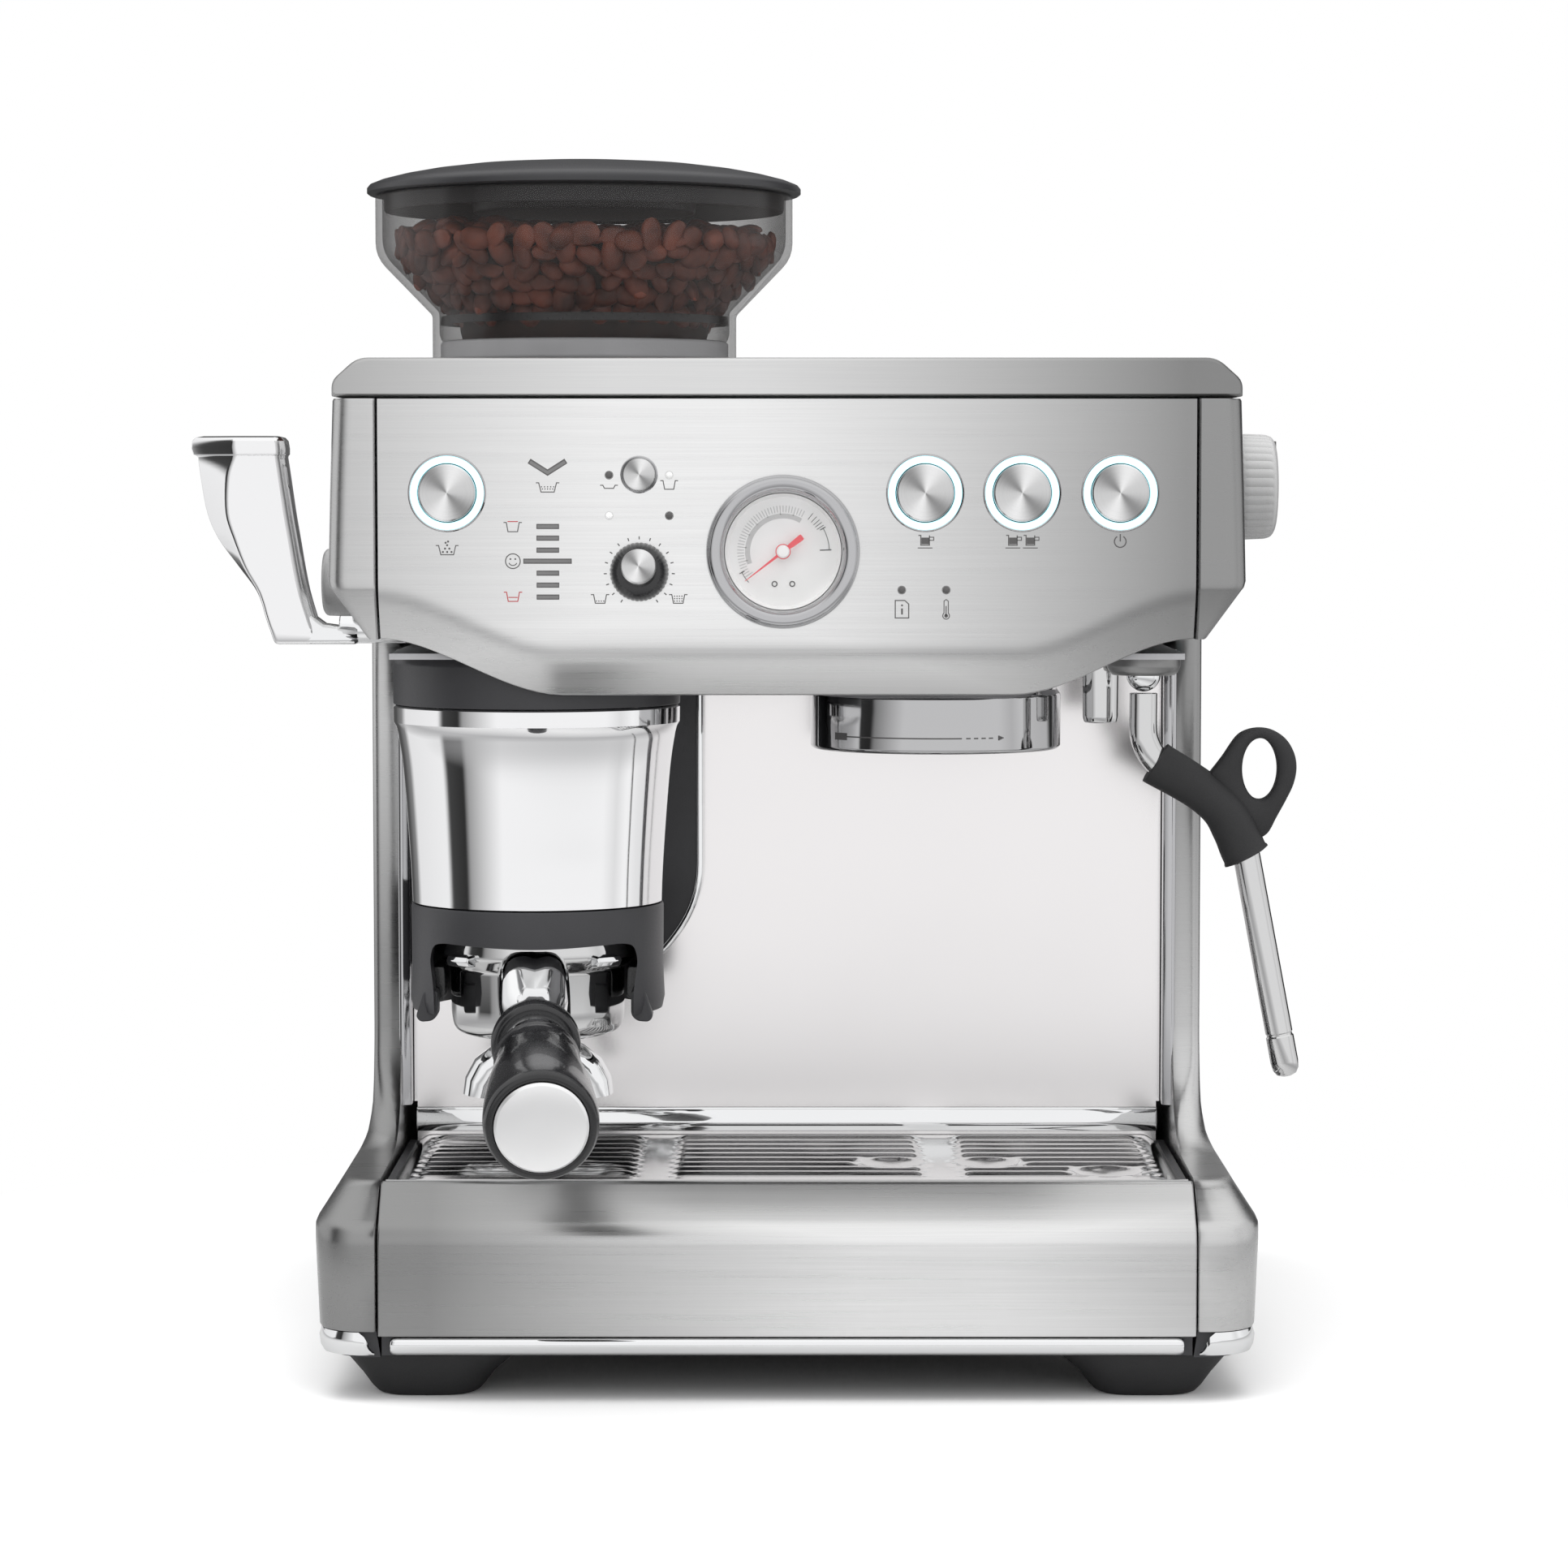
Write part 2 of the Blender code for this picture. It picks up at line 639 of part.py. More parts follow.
def group():
    """The brewing head, with its gasket and shower screen, hanging from the head's floor."""
    x, y = GROUP
    top = HEAD_FLOOR - GAP
    housing = [
        (GROUP_RADIUS - 0.0015, top), (GROUP_RADIUS - 0.0015, 0.2330), (GROUP_RADIUS, 0.2310),
        (GROUP_RADIUS, GROUP_BOTTOM + 0.0010), (GROUP_RADIUS - 0.0010, GROUP_BOTTOM),
        (0.0345, GROUP_BOTTOM), (0.0330, GROUP_BOTTOM + 0.0015), (0.0330, 0.2340),
        (0.0150, 0.2340), (0.0150, top),
    ]
    turned("group_housing", housing, (x, y, 0.0), "chrome", ring=True, sides=32)
    gasket = ring_profile(0.0276, 0.0325, 0.2240, 0.2336)
    turned("group_gasket", gasket, (x, y, 0.0), "rubber", ring=True, sides=32)
    screen = cylinder("shower_screen", 0.0272, 0.0020, (x, y, 0.2270), "up", "polished_steel")
    stud = cylinder("screen_stud", 0.0040, 0.0080, (x, y, 0.2305), sides=16)
    join(screen, stud)
    water = [(0.0054, top), (0.0054, 0.2235), (0.0046, 0.2220), (0.0030, 0.2220), (0.0030, top)]
    turned("hot_water_spout", water, (0.1066, -0.100, 0.0), "chrome", ring=True, sides=24)


def steam_wand():
    """The ball turns in its collar and the wand tilts on the ball: one ball joint, as two hinges."""
    x, y = WAND
    collar = [
        (0.0122, HEAD_FLOOR - GAP), (0.0122, 0.2400), (0.0110, 0.2385), (0.0102, 0.2385),
        (0.0102, HEAD_FLOOR - GAP),
    ]
    turned("wand_collar", collar, (x, y, 0.0), "black_plastic", ring=True, sides=28)
    swivel = pivot("wand_swivel", (x, y, WAND_BALL_Z), MACHINE)
    joint = ball("wand_ball", 0.0058, (x, y, WAND_BALL_Z), "chrome", swivel)
    tilt = pivot("wand_tilt", (x, y, WAND_BALL_Z), swivel)
    low = WAND_BALL_Z - 0.0062
    upper = [(x, y, low), (x, y, low - 0.0120), (x + 0.0008, y, low - 0.0160), (x + 0.0026, y, 0.2126)]
    tube("wand_upper_tube", upper, 0.0045, "chrome", tilt)

    bend = [
        (x + 0.0028, y, 0.2122), (x + 0.0050, y, 0.2075), (x + 0.0090, y, 0.2030),
        (x + 0.0150, y, 0.1990), (x + 0.0220, y, 0.1960), (x + 0.0280, y, 0.1930),
        (x + 0.0325, y, 0.1885), (x + 0.0348, y, 0.1830), (x + 0.0357, y, 0.1775),
    ]
    grip = tube("wand_grip", bend, 0.0075, "rubber", tilt, sides=3)
    centre, wide, tall = (x + 0.0412, 0.2065), 0.0083, 0.0122
    around = [2 * math.pi * i / 20 for i in range(20)]
    ring = [(centre[0] + wide * math.cos(a), y, centre[1] + tall * math.sin(a)) for a in around]
    join(grip, tube("finger_loop", ring, 0.0026, closed=True, sides=2))

    start, tip = Vector((x + 0.0358, y, 0.1770)), Vector((0.1693, y, 0.1030))
    tube("wand_lower_tube", [start, between(start, tip, 0.5), tip], 0.0045, "chrome", tilt)


def steam_dial():
    """The steam dial turns on the right cheek, in front of its collar."""
    y, z = SIDE_DIAL
    collar = ring_profile(0.0036, 0.0215, 0.1505, 0.1532)
    turned("steam_dial_collar", collar, (0.0, y, z), "charcoal_plastic", facing="right", ring=True)
    body = pivot("steam_turn", (0.1535, y, z), MACHINE)
    knob = [
        (0.0, 0.1668), (0.0150, 0.1668), (0.0170, 0.1655), (0.0178, 0.1635), (0.0178, 0.1535),
        (0.0032, 0.1535), (0.0032, 0.1445), (0.0, 0.1445),
    ]
    turned("steam_dial", knob, (0.0, y, z), "satin_grey", body, "right")


# Tamping


def tamp_unit():
    """The dark collar, the flared chrome housing and the cradle that holds the portafilter."""
    x, y = TAMPER
    place = (x, y, 0.0)
    collar = [
        (0.0470, HEAD_FLOOR - GAP), (0.0487, 0.2420), (0.0487, 0.2287), (0.0415, 0.2287),
        (0.0415, HEAD_FLOOR - GAP),
    ]
    turned("tamp_collar", collar, place, "charcoal_plastic", ring=True, sides=32)
    housing = [
        (0.0487, 0.2284), (0.0487, 0.2232), (0.0477, 0.2222), (0.0450, 0.1860), (0.0433, 0.1613),
        (0.0405, 0.1613), (0.0425, 0.1860), (0.0455, 0.2284),
    ]
    turned("tamp_housing", housing, place, "chrome", ring=True, sides=32)
    ring = [
        (0.0433, 0.1610), (0.0433, 0.1270), (0.0420, 0.1250), (0.0366, 0.1250), (0.0366, 0.1610),
    ]
    cradle = turned("portafilter_cradle", ring, place, "charcoal_plastic", ring=True, sides=32)
    arch = [(-0.0380, 0.110), (0.0380, 0.110), (0.0380, 0.1420)]
    arch += arc((0.0290, 0.1425), 0.0090, 0, 90, 5) + arc((-0.0290, 0.1425), 0.0090, 90, 180, 5)
    outline = [(x + across, z) for across, z in arch]
    cut(cradle, prism("cradle_mouth", outline, "front", y - 0.060, y + 0.012))


def tamp_lever():
    """The lever turns the pinion, which drives the tamper's rod down and springs back."""
    axis_y, axis_z = LEVER_AXIS
    turn = pivot("lever_turn", (-0.085, axis_y, axis_z), MACHINE)
    levels = [  # height, middle in x, half width, half depth
        (0.2478, -0.1690, 0.0045, 0.0030),
        (0.2500, -0.1690, 0.0080, 0.0062),
        (0.2590, -0.1700, 0.0090, 0.0075),
        (0.2700, -0.1748, 0.0106, 0.0080),
        (0.2830, -0.1800, 0.0130, 0.0084),
        (0.2990, -0.1843, 0.0147, 0.0086),
        (0.3140, -0.1876, 0.0157, 0.0084),
        (0.3180, -0.1880, 0.0136, 0.0066),
        (0.3195, -0.1880, 0.0085, 0.0036),
    ]
    sides = [2 * math.pi * i / 14 for i in range(14)]
    sections = [
        [(x + wide * math.cos(a), axis_y + deep * math.sin(a), z) for a in sides]
        for z, x, wide, deep in levels
    ]
    lever = loft("tamp_lever", sections, "chrome", turn)
    shaft = cylinder("lever_shaft", 0.0050, 0.0950, (-0.1265, axis_y, axis_z), "right", body=turn)
    pinion = cylinder("pinion", PINION_RADIUS, 0.0080, (-0.0850, axis_y, axis_z), "right", body=turn)
    join(lever, shaft, pinion)

    x, y = TAMPER
    slide = pivot("tamper_slide", (x, y, 0.1560), MACHINE)
    disc = [(0.0, 0.1680), (0.0200, 0.1680), (0.0258, 0.1650), (0.0258, 0.1560), (0.0, 0.1560)]
    tamper = turned("tamper", disc, (x, y, 0.0), "polished_steel", slide, sides=32)
    rod = box("tamper_rod", (x - 0.0035, y - 0.0035, 0.1650), (x + 0.0035, y + 0.0035, 0.3000), body=slide)
    join(tamper, rod)


# The portafilter


def portafilter():
    """The portafilter stands in the cradle and draws out to the front."""
    x, y = TAMPER
    rim = PORTAFILTER_RIM
    place = (x, y, 0.0)
    body = pivot("portafilter_slide", (x, y, rim), MACHINE)
    bowl = [
        (0.0335, rim), (0.0345, rim - 0.0010), (0.0345, rim - 0.0070), (0.0312, rim - 0.0100),
        (0.0300, 0.1240), (0.0285, 0.1172), (0.0270, 0.1158), (0.0040, 0.1158), (0.0040, 0.1190),
        (0.0286, 0.1215), (0.0290, rim),
    ]
    holder = turned("portafilter_body", bowl, place, "chrome", body, ring=True, sides=30)
    handle_start, handle_end = Vector((x + 0.0024, -0.1620, 0.1207)), Vector((x + 0.0088, -0.2440, 0.1038))
    along = (handle_end - handle_start).normalized()
    levels = [  # place along y, shift in x, middle height, half width, half height
        (y - 0.0240, 0.0000, 0.1330, 0.0120, 0.0125),
        (y - 0.0320, 0.0005, 0.1320, 0.0120, 0.0130),
        (y - 0.0420, 0.0010, 0.1290, 0.0118, 0.0125),
        (y - 0.0500, 0.0016, 0.1250, 0.0120, 0.0120),
        (y - 0.0580, 0.0021, 0.1222, 0.0115, 0.0115),
    ]
    sections = [
        [
            (x + shift + wide * math.cos(a), place_y, middle + tall * math.sin(a))
            for a in (2 * math.pi * i / 16 for i in range(16))
        ]
        for place_y, shift, middle, wide, tall in levels
    ]
    join(holder, loft("portafilter_neck", sections, body=body))
    cut(holder, cylinder("bowl_bore", 0.0288, 0.030, (x, y, 0.1365), body=body, sides=30))

    basket = [
        (0.0, 0.1230), (0.0266, 0.1232), (0.0274, 0.1252), (0.0277, rim - 0.0006),
        (0.0283, rim - 0.0006), (0.0279, 0.1245), (0.0272, 0.1224), (0.0, 0.1224),
    ]
    turned("filter_basket", basket, place, "polished_steel", body, sides=26)

    spout_z = 0.1086
    half = [(0.0190, 0.0940), (0.0190, 0.1030), (0.0172, 0.1066), (0.0130, spout_z)]
    line = [(x - a, y, z) for a, z in half] + [(x + a, y, z) for a, z in reversed(half)]
    spout = tube("portafilter_spout", line, 0.0056, "chrome", body)
    join(spout, cylinder("spout_stub", 0.0085, 0.0071, (x, y, 0.11195), body=body, sides=24))

    # The handle is turned about its own axis, which dips and leans to the machine's middle
    tilt = along.to_track_quat("Z", "Y").to_euler()
    grip_start = handle_start + along * GAP
    length = (handle_end - grip_start).length
    grip = [
        (0.0, length - 0.0010), (0.0148, length - 0.0010), (0.0148, length), (0.0168, length),
        (0.0182, length - 0.0020), (0.0182, length - 0.0120), (0.0172, length - 0.040),
        (0.0150, 0.012), (0.0142, 0.010), (0.0142, 0.004), (0.0125, 0.0), (0.0, 0.0),
    ]
    turned("portafilter_handle", grip, grip_start, "black_plastic", body, tilt, sides=32)
    cap = [(0.0, 0.0022), (0.0138, 0.0022), (0.0145, 0.0016), (0.0145, 0.0), (0.0, 0.0)]
    cap_place = handle_end - along * (0.0010 - GAP)
    turned("handle_cap", cap, cap_place, "satin_grey", body, tilt, sides=32)


# Controls


def gauge():
    """The pressure gauge: its face and bezel, a needle on the middle, and the glass over it."""
    x, z = GAUGE
    place = (x, FRONT, z)
    bezel = [
        (0.0205, 0.0042), (0.0236, 0.0042), (0.0250, 0.0026), (0.0250, GAP), (0.0212, GAP),
        (0.0212, -0.0070), (0.0195, -0.0070), (0.0195, 0.0032),
    ]
    bezel = bezel[1:] + bezel[:1]
    turned("gauge_bezel", bezel, place, "polished_steel", facing="front", ring=True, sides=32)
    cylinder("gauge_face", 0.0192, 0.0012, (x, FRONT + 0.0050, z), "front", "dial_white", sides=40)
    cylinder("gauge_glass", 0.0192, 0.0012, (x, FRONT - 0.0022, z), "front", "glass", sides=40)
    turn = pivot("needle_turn", (x, FRONT + 0.0020, z), MACHINE)
    tail, tip, lean = 0.0080, 0.0157, math.radians(217.8)
    needle = box(
        "gauge_needle", (x - tail, FRONT + 0.0016, z - 0.0006), (x + tip, FRONT + 0.0024, z + 0.0006),
        "needle_red", turn,
    )
    reach = (tip - tail) / 2
    needle.location = (reach * math.cos(lean), 0.0, reach * math.sin(lean))
    needle.rotation_euler = (0.0, -lean, 0.0)
    join(needle, cylinder("needle_hub", 0.0022, 0.0024, (x, FRONT + 0.0020, z), "front", body=turn))


def controls():
    """Five push buttons, the light guide behind four of them, and the dose dial."""
    travel_start = FRONT - 0.0020
    rim = [(0.0090, 0.0), (BUTTON_RADIUS, -0.0006), (BUTTON_RADIUS, -0.0100), (0.0, -0.0100)]
    for name, x in BUTTONS.items():
        press = pivot(f"press_{name}", (x, travel_start, BUTTON_ROW), MACHINE)
        profile = [(0.0, -0.0004)] + rim
        place = (x, travel_start, BUTTON_ROW)
        turned(f"button_{name}", profile, place, "polished_steel", press, "front", sides=22)
    x, z = FILTER_BUTTON
    press = pivot("press_filter", (x, travel_start, z), MACHINE)
    small = [(0.0, 0.0), (0.0047, 0.0), (0.0053, -0.0006), (0.0053, -0.0090), (0.0, -0.0090)]
    turned("button_filter", small, (x, travel_start, z), "polished_steel", press, "front", sides=24)

    x, z = DOSE_DIAL
    turn = pivot("dose_turn", (x, FRONT, z), MACHINE)
    knob = [
        (0.0, 0.0100), (0.0050, 0.0100), (0.0056, 0.0094), (0.0056, 0.0070), (0.0088, 0.0070),
        (0.0095, 0.0062), (0.0095, 0.0006), (0.0030, 0.0006), (0.0030, -0.0070), (0.0, -0.0070),
    ]
    turned("dose_dial", knob, (x, FRONT, z), "charcoal_plastic", turn, "front", sides=22)

    rear = -0.0125
    rings = []
    for name, x in BUTTONS.items():
        profile = ring_profile(BUTTON_RADIUS + GAP, RING_RADIUS, rear, -GAP)
        main = "light_guide" if not rings else f"ring_{name}"
        material = None if rings else "light_guide"
        place = (x, FRONT, BUTTON_ROW)
        rings.append(turned(main, profile, place, material, facing="front", ring=True, sides=20))
    bar_low, bar_high = BUTTON_ROW + 0.0100, BUTTON_ROW + 0.0122
    bar = box(
        "guide_bar", (BUTTONS["dose"], FRONT - rear - 0.0008, bar_low),
        (BUTTONS["power"], FRONT - rear + 0.0012, bar_high),
    )
    join(rings[0], *rings[1:], bar)


def build():
    for name, x in (("left", -FOOT_X), ("right", FOOT_X)):
        foot(f"foot_front_{name}", x, -0.126)
        foot(f"foot_rear_{name}", x, 0.122)
        side_panel(name)
    base_pan()
    splash_back()
    inner_frame()
    head_front_panel()
    head_cheeks()
    top_cover()
    tank()
    drip_tray()
    hopper()
    grinder()
    grind_dial()
    boiler_and_pump()
    group()
    steam_wand()
    steam_dial()
    tamp_unit()
    tamp_lever()
    portafilter()
    gauge()
    controls()


build()
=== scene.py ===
"""The looks of the espresso machine: finer surfaces, finishes, studio light and camera.

Places are given as at(x, y, z): x from the middle of the case, y from its datum 160 mm behind the
front plane, z from the floor, all in metres.
"""

import json
import math
import random

import bmesh
import bpy
from mathutils import Matrix, Vector


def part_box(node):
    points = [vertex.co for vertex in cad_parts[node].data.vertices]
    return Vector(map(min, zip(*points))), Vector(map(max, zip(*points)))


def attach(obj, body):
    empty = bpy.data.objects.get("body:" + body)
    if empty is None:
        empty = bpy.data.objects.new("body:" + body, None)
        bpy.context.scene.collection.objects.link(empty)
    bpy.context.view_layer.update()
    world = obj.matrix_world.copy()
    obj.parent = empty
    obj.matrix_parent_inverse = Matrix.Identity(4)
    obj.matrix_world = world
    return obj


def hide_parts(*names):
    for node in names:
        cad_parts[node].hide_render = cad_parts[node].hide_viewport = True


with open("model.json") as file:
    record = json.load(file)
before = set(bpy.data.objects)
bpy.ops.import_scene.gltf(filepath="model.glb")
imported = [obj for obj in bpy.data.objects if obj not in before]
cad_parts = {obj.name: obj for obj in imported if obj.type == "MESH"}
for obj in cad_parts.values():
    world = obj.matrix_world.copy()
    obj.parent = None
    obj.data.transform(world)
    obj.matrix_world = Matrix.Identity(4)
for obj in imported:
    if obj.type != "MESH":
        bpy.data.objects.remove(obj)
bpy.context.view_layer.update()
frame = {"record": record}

# The places and sizes that the pieces share, read from the frame
PANEL_LOW, PANEL_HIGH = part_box("head_front_panel")
DATUM = Vector(((PANEL_LOW.x + PANEL_HIGH.x) / 2, PANEL_LOW.y + 0.16, 0.0))
FRONT = -0.16
HEAD_TOP = PANEL_HIGH.z
BASE_SEAM = 0.1354
BUTTON_ROW = 0.3
BUTTONS = {"dose": -0.1108, "one_cup": 0.045, "two_cup": 0.0766, "power": 0.1086}
FILTER_BUTTON = (-0.0482, 0.306)
DOSE_DIAL = (-0.0482, 0.2743)
GAUGE = (-0.0013, 0.2809)
HOPPER = (-0.0715, -0.03)
TAMPER = (-0.085, -0.1)
GROUP = (0.051, -0.085)
WAND = (0.12, -0.115)
LEVER_AXIS = (-0.083, 0.2534)

UP = Matrix.Identity(3)
TO_FRONT = Matrix.Rotation(math.pi / 2, 3, "X")
TO_RIGHT = Matrix.Rotation(math.pi / 2, 3, "Y")


def at(x, y, z):
    return DATUM + Vector((x, y, z))


# Shader tools


def new_group(name, inputs, outputs):
    """An empty shader node group with float or vector sockets."""
    group = bpy.data.node_groups.new(name, "ShaderNodeTree")
    for label, kind, value in inputs:
        socket = group.interface.new_socket(label, in_out="INPUT", socket_type=kind)
        if value is not None:
            socket.default_value = value
    for label, kind in outputs:
        group.interface.new_socket(label, in_out="OUTPUT", socket_type=kind)
    return group, group.nodes.new("NodeGroupInput"), group.nodes.new("NodeGroupOutput")


def math_node(tree, operation, a, b=None):
    """A Math node whose inputs are sockets or numbers; returns its output."""
    node = tree.nodes.new("ShaderNodeMath")
    node.operation = operation
    for socket, value in zip(node.inputs, (a, b)):
        if isinstance(value, bpy.types.NodeSocket):
            tree.links.new(value, socket)
        elif value is not None:
            socket.default_value = value
    return node.outputs[0]


def range_node(tree, value, low, high, to_low, to_high):
    """Map a value's range onto another, clamped."""
    node = tree.nodes.new("ShaderNodeMapRange")
    tree.links.new(value, node.inputs["Value"])
    for label, given in (("From Min", low), ("From Max", high), ("To Min", to_low), ("To Max", to_high)):
        if isinstance(given, bpy.types.NodeSocket):
            tree.links.new(given, node.inputs[label])
        else:
            node.inputs[label].default_value = given
    return node.outputs["Result"]


def noise_node(tree, vector, scale, detail):
    node = tree.nodes.new("ShaderNodeTexNoise")
    tree.links.new(vector, node.inputs["Vector"])
    node.inputs["Scale"].default_value = scale
    node.inputs["Detail"].default_value = detail
    return node.outputs["Fac"]


def stretch_node(tree, vector, scale):
    """Scale a position by three factors, so that a noise runs into streaks."""
    node = tree.nodes.new("ShaderNodeVectorMath")
    node.operation = "MULTIPLY"
    tree.links.new(vector, node.inputs[0])
    node.inputs[1].default_value = scale
    return node.outputs[0]


def mix_colours(tree, factor, a, b):
    node = tree.nodes.new("ShaderNodeMix")
    node.data_type = "RGBA"
    if isinstance(factor, bpy.types.NodeSocket):
        tree.links.new(factor, node.inputs["Factor"])
    else:
        node.inputs["Factor"].default_value = factor
    for socket, value in ((node.inputs["A"], a), (node.inputs["B"], b)):
        if isinstance(value, bpy.types.NodeSocket):
            tree.links.new(value, socket)
        else:
            socket.default_value = value
    return node.outputs["Result"]


def grain_group():
    """Brushed grain that runs along X: a streak value and a fine height."""
    group, start, end = new_group(
        "brushed_grain",
        [("Position", "NodeSocketVector", None), ("Fineness", "NodeSocketFloat", 1.0)],
        [("Streaks", "NodeSocketFloat"), ("Height", "NodeSocketFloat")],
    )
    scaled = group.nodes.new("ShaderNodeVectorMath")
    scaled.operation = "SCALE"
    group.links.new(start.outputs["Position"], scaled.inputs[0])
    group.links.new(start.outputs["Fineness"], scaled.inputs["Scale"])
    fine = noise_node(group, stretch_node(group, scaled.outputs[0], (16.0, 1400.0, 2400.0)), 1.0, 3.0)
    broad = noise_node(group, stretch_node(group, scaled.outputs[0], (10.0, 420.0, 640.0)), 1.0, 2.0)
    streaks = math_node(
        group, "ADD", math_node(group, "MULTIPLY", fine, 0.6), math_node(group, "MULTIPLY", broad, 0.4)
    )
    group.links.new(streaks, end.inputs["Streaks"])
    group.links.new(fine, end.inputs["Height"])
    return group


def wear_group():
    """Cloudy smudges and a fine even grain, for moulded and polished surfaces."""
    group, start, end = new_group(
        "surface_variation",
        [
            ("Position", "NodeSocketVector", None),
            ("Cloud Scale", "NodeSocketFloat", 30.0),
            ("Grain Scale", "NodeSocketFloat", 1500.0),
        ],
        [("Clouds", "NodeSocketFloat"), ("Grain", "NodeSocketFloat")],
    )
    for label, source, detail in (("Clouds", "Cloud Scale", 3.0), ("Grain", "Grain Scale", 1.0)):
        node = group.nodes.new("ShaderNodeTexNoise")
        node.inputs["Detail"].default_value = detail
        group.links.new(start.outputs["Position"], node.inputs["Vector"])
        group.links.new(start.outputs[source], node.inputs["Scale"])
        group.links.new(node.outputs["Fac"], end.inputs[label])
    return group


def painted_sheen_group():
    """Painted light on a brushed sheet: a painted highlight at its middle, and painted shade towards its ends and
    its lower lip.
    """
    group, start, end = new_group(
        "painted_sheen_and_shade",
        [("Position", "NodeSocketVector", None), ("Normal", "NodeSocketVector", None)],
        [("Shade", "NodeSocketFloat")],
    )
    split = group.nodes.new("ShaderNodeSeparateXYZ")
    group.links.new(start.outputs["Position"], split.inputs[0])
    x, z = split.outputs["X"], split.outputs["Z"]
    # The painted highlight is centred at x 0.062 on the base and x -0.02 on the head
    middle = range_node(group, z, 0.1, 0.22, *PAINTED_SHEEN_MIDDLE)
    reach = math_node(group, "ABSOLUTE", math_node(group, "SUBTRACT", x, middle))
    ends = range_node(group, reach, 0.02, 0.165, 0.0, 1.0)
    ends = math_node(group, "POWER", ends, 1.25)
    # Painted shade along the head's lower lip and the tray front's sloping lip
    lip = range_node(
        group, math_node(group, "ABSOLUTE", math_node(group, "SUBTRACT", z, 0.228)), 0.006, 0.03, 0.55, 0.0
    )
    slope = range_node(
        group, math_node(group, "ABSOLUTE", math_node(group, "SUBTRACT", z, 0.069)), 0.003, 0.014, 0.5, 0.0
    )
    bands = math_node(group, "MAXIMUM", lip, slope)
    facing = group.nodes.new("ShaderNodeSeparateXYZ")
    group.links.new(start.outputs["Normal"], facing.inputs[0])
    # The painted light is strongest on faces that look to the front or the back
    front = range_node(group, math_node(group, "ABSOLUTE", facing.outputs["Y"]), 0.05, 0.45, 0.35, 1.0)
    shade = math_node(group, "MULTIPLY", math_node(group, "MAXIMUM", ends, bands), front)
    group.links.new(shade, end.inputs["Shade"])
    return group


def spun_rings_painted_fans_group():
    """Painted reflection about an axis that points to the front: fans of light and dark, with fine rings in them.
    """
    group, start, end = new_group(
        "spun_rings_and_painted_fans",
        [("Position", "NodeSocketVector", None), ("Centre", "NodeSocketVector", None)],
        [("Painted Fans", "NodeSocketFloat"), ("Rings", "NodeSocketFloat")],
    )
    offset = group.nodes.new("ShaderNodeVectorMath")
    offset.operation = "SUBTRACT"
    group.links.new(start.outputs["Position"], offset.inputs[0])
    group.links.new(start.outputs["Centre"], offset.inputs[1])
    split = group.nodes.new("ShaderNodeSeparateXYZ")
    group.links.new(offset.outputs[0], split.inputs[0])
    x, z = split.outputs["X"], split.outputs["Z"]
    angle = math_node(group, "ARCTAN2", z, x)
    square = math_node(group, "ADD", math_node(group, "MULTIPLY", x, x), math_node(group, "MULTIPLY", z, z))
    # Painted reflection: fans of light and dark at set turns about the centre
    fans = []
    for count, shift, weight in ((2.0, -1.9, 0.7), (4.0, 0.6, 0.3)):
        turned = math_node(group, "ADD", math_node(group, "MULTIPLY", angle, count), shift)
        fans.append(math_node(group, "MULTIPLY", math_node(group, "COSINE", turned), weight))
    rings = group.nodes.new("ShaderNodeTexNoise")
    rings.noise_dimensions = "1D"
    rings.inputs["Scale"].default_value = 1.0
    rings.inputs["Detail"].default_value = 2.0
    rings_per_metre = 5200.0
    group.links.new(
        math_node(group, "MULTIPLY", math_node(group, "SQRT", square), rings_per_metre), rings.inputs["W"]
    )
    ripple = math_node(group, "MULTIPLY", math_node(group, "SUBTRACT", rings.outputs["Fac"], 0.5), 0.45)
    light = math_node(group, "ADD", math_node(group, "ADD", *fans), ripple)
    group.links.new(range_node(group, light, -1.0, 1.0, 0.0, 1.0), end.inputs["Painted Fans"])
    group.links.new(rings.outputs["Fac"], end.inputs["Rings"])
    return group


# Where the painted highlight is centred, and how dark the painted shade gets
PAINTED_SHEEN_MIDDLE = (0.062, -0.02)
PAINTED_SHADE_FLOOR = 0.34
PAINTED_SHEEN_GROUP = painted_sheen_group()
GRAIN = grain_group()
VARIATION = wear_group()
SPUN_RINGS_PAINTED_FANS = spun_rings_painted_fans_group()


def new_material(name, colour, roughness, metallic=0.0, **sockets):
    """A Principled material, and the tree, shader and object position to build on."""
    material = bpy.data.materials.new(name)
    material.use_nodes = True
    tree = material.node_tree
    shader = tree.nodes["Principled BSDF"]
    shader.inputs["Base Color"].default_value = (*colour, 1.0)
    shader.inputs["Roughness"].default_value = roughness
    shader.inputs["Metallic"].default_value = metallic
    for label, value in sockets.items():
        shader.inputs[label.replace("_", " ")].default_value = value
    position = tree.nodes.new("ShaderNodeTexCoord").outputs["Object"]
    return material, tree, shader, position


def use_group(tree, group, position, **values):
    node = tree.nodes.new("ShaderNodeGroup")
    node.node_tree = group
    tree.links.new(position, node.inputs["Position"])
    for label, value in values.items():
        node.inputs[label.replace("_", " ")].default_value = value
    return node


def bump(tree, shader, height, distance, strength=1.0):
    node = tree.nodes.new("ShaderNodeBump")
    node.inputs["Distance"].default_value = distance
    node.inputs["Strength"].default_value = strength
    tree.links.new(height, node.inputs["Height"])
    tree.links.new(node.outputs["Normal"], shader.inputs["Normal"])


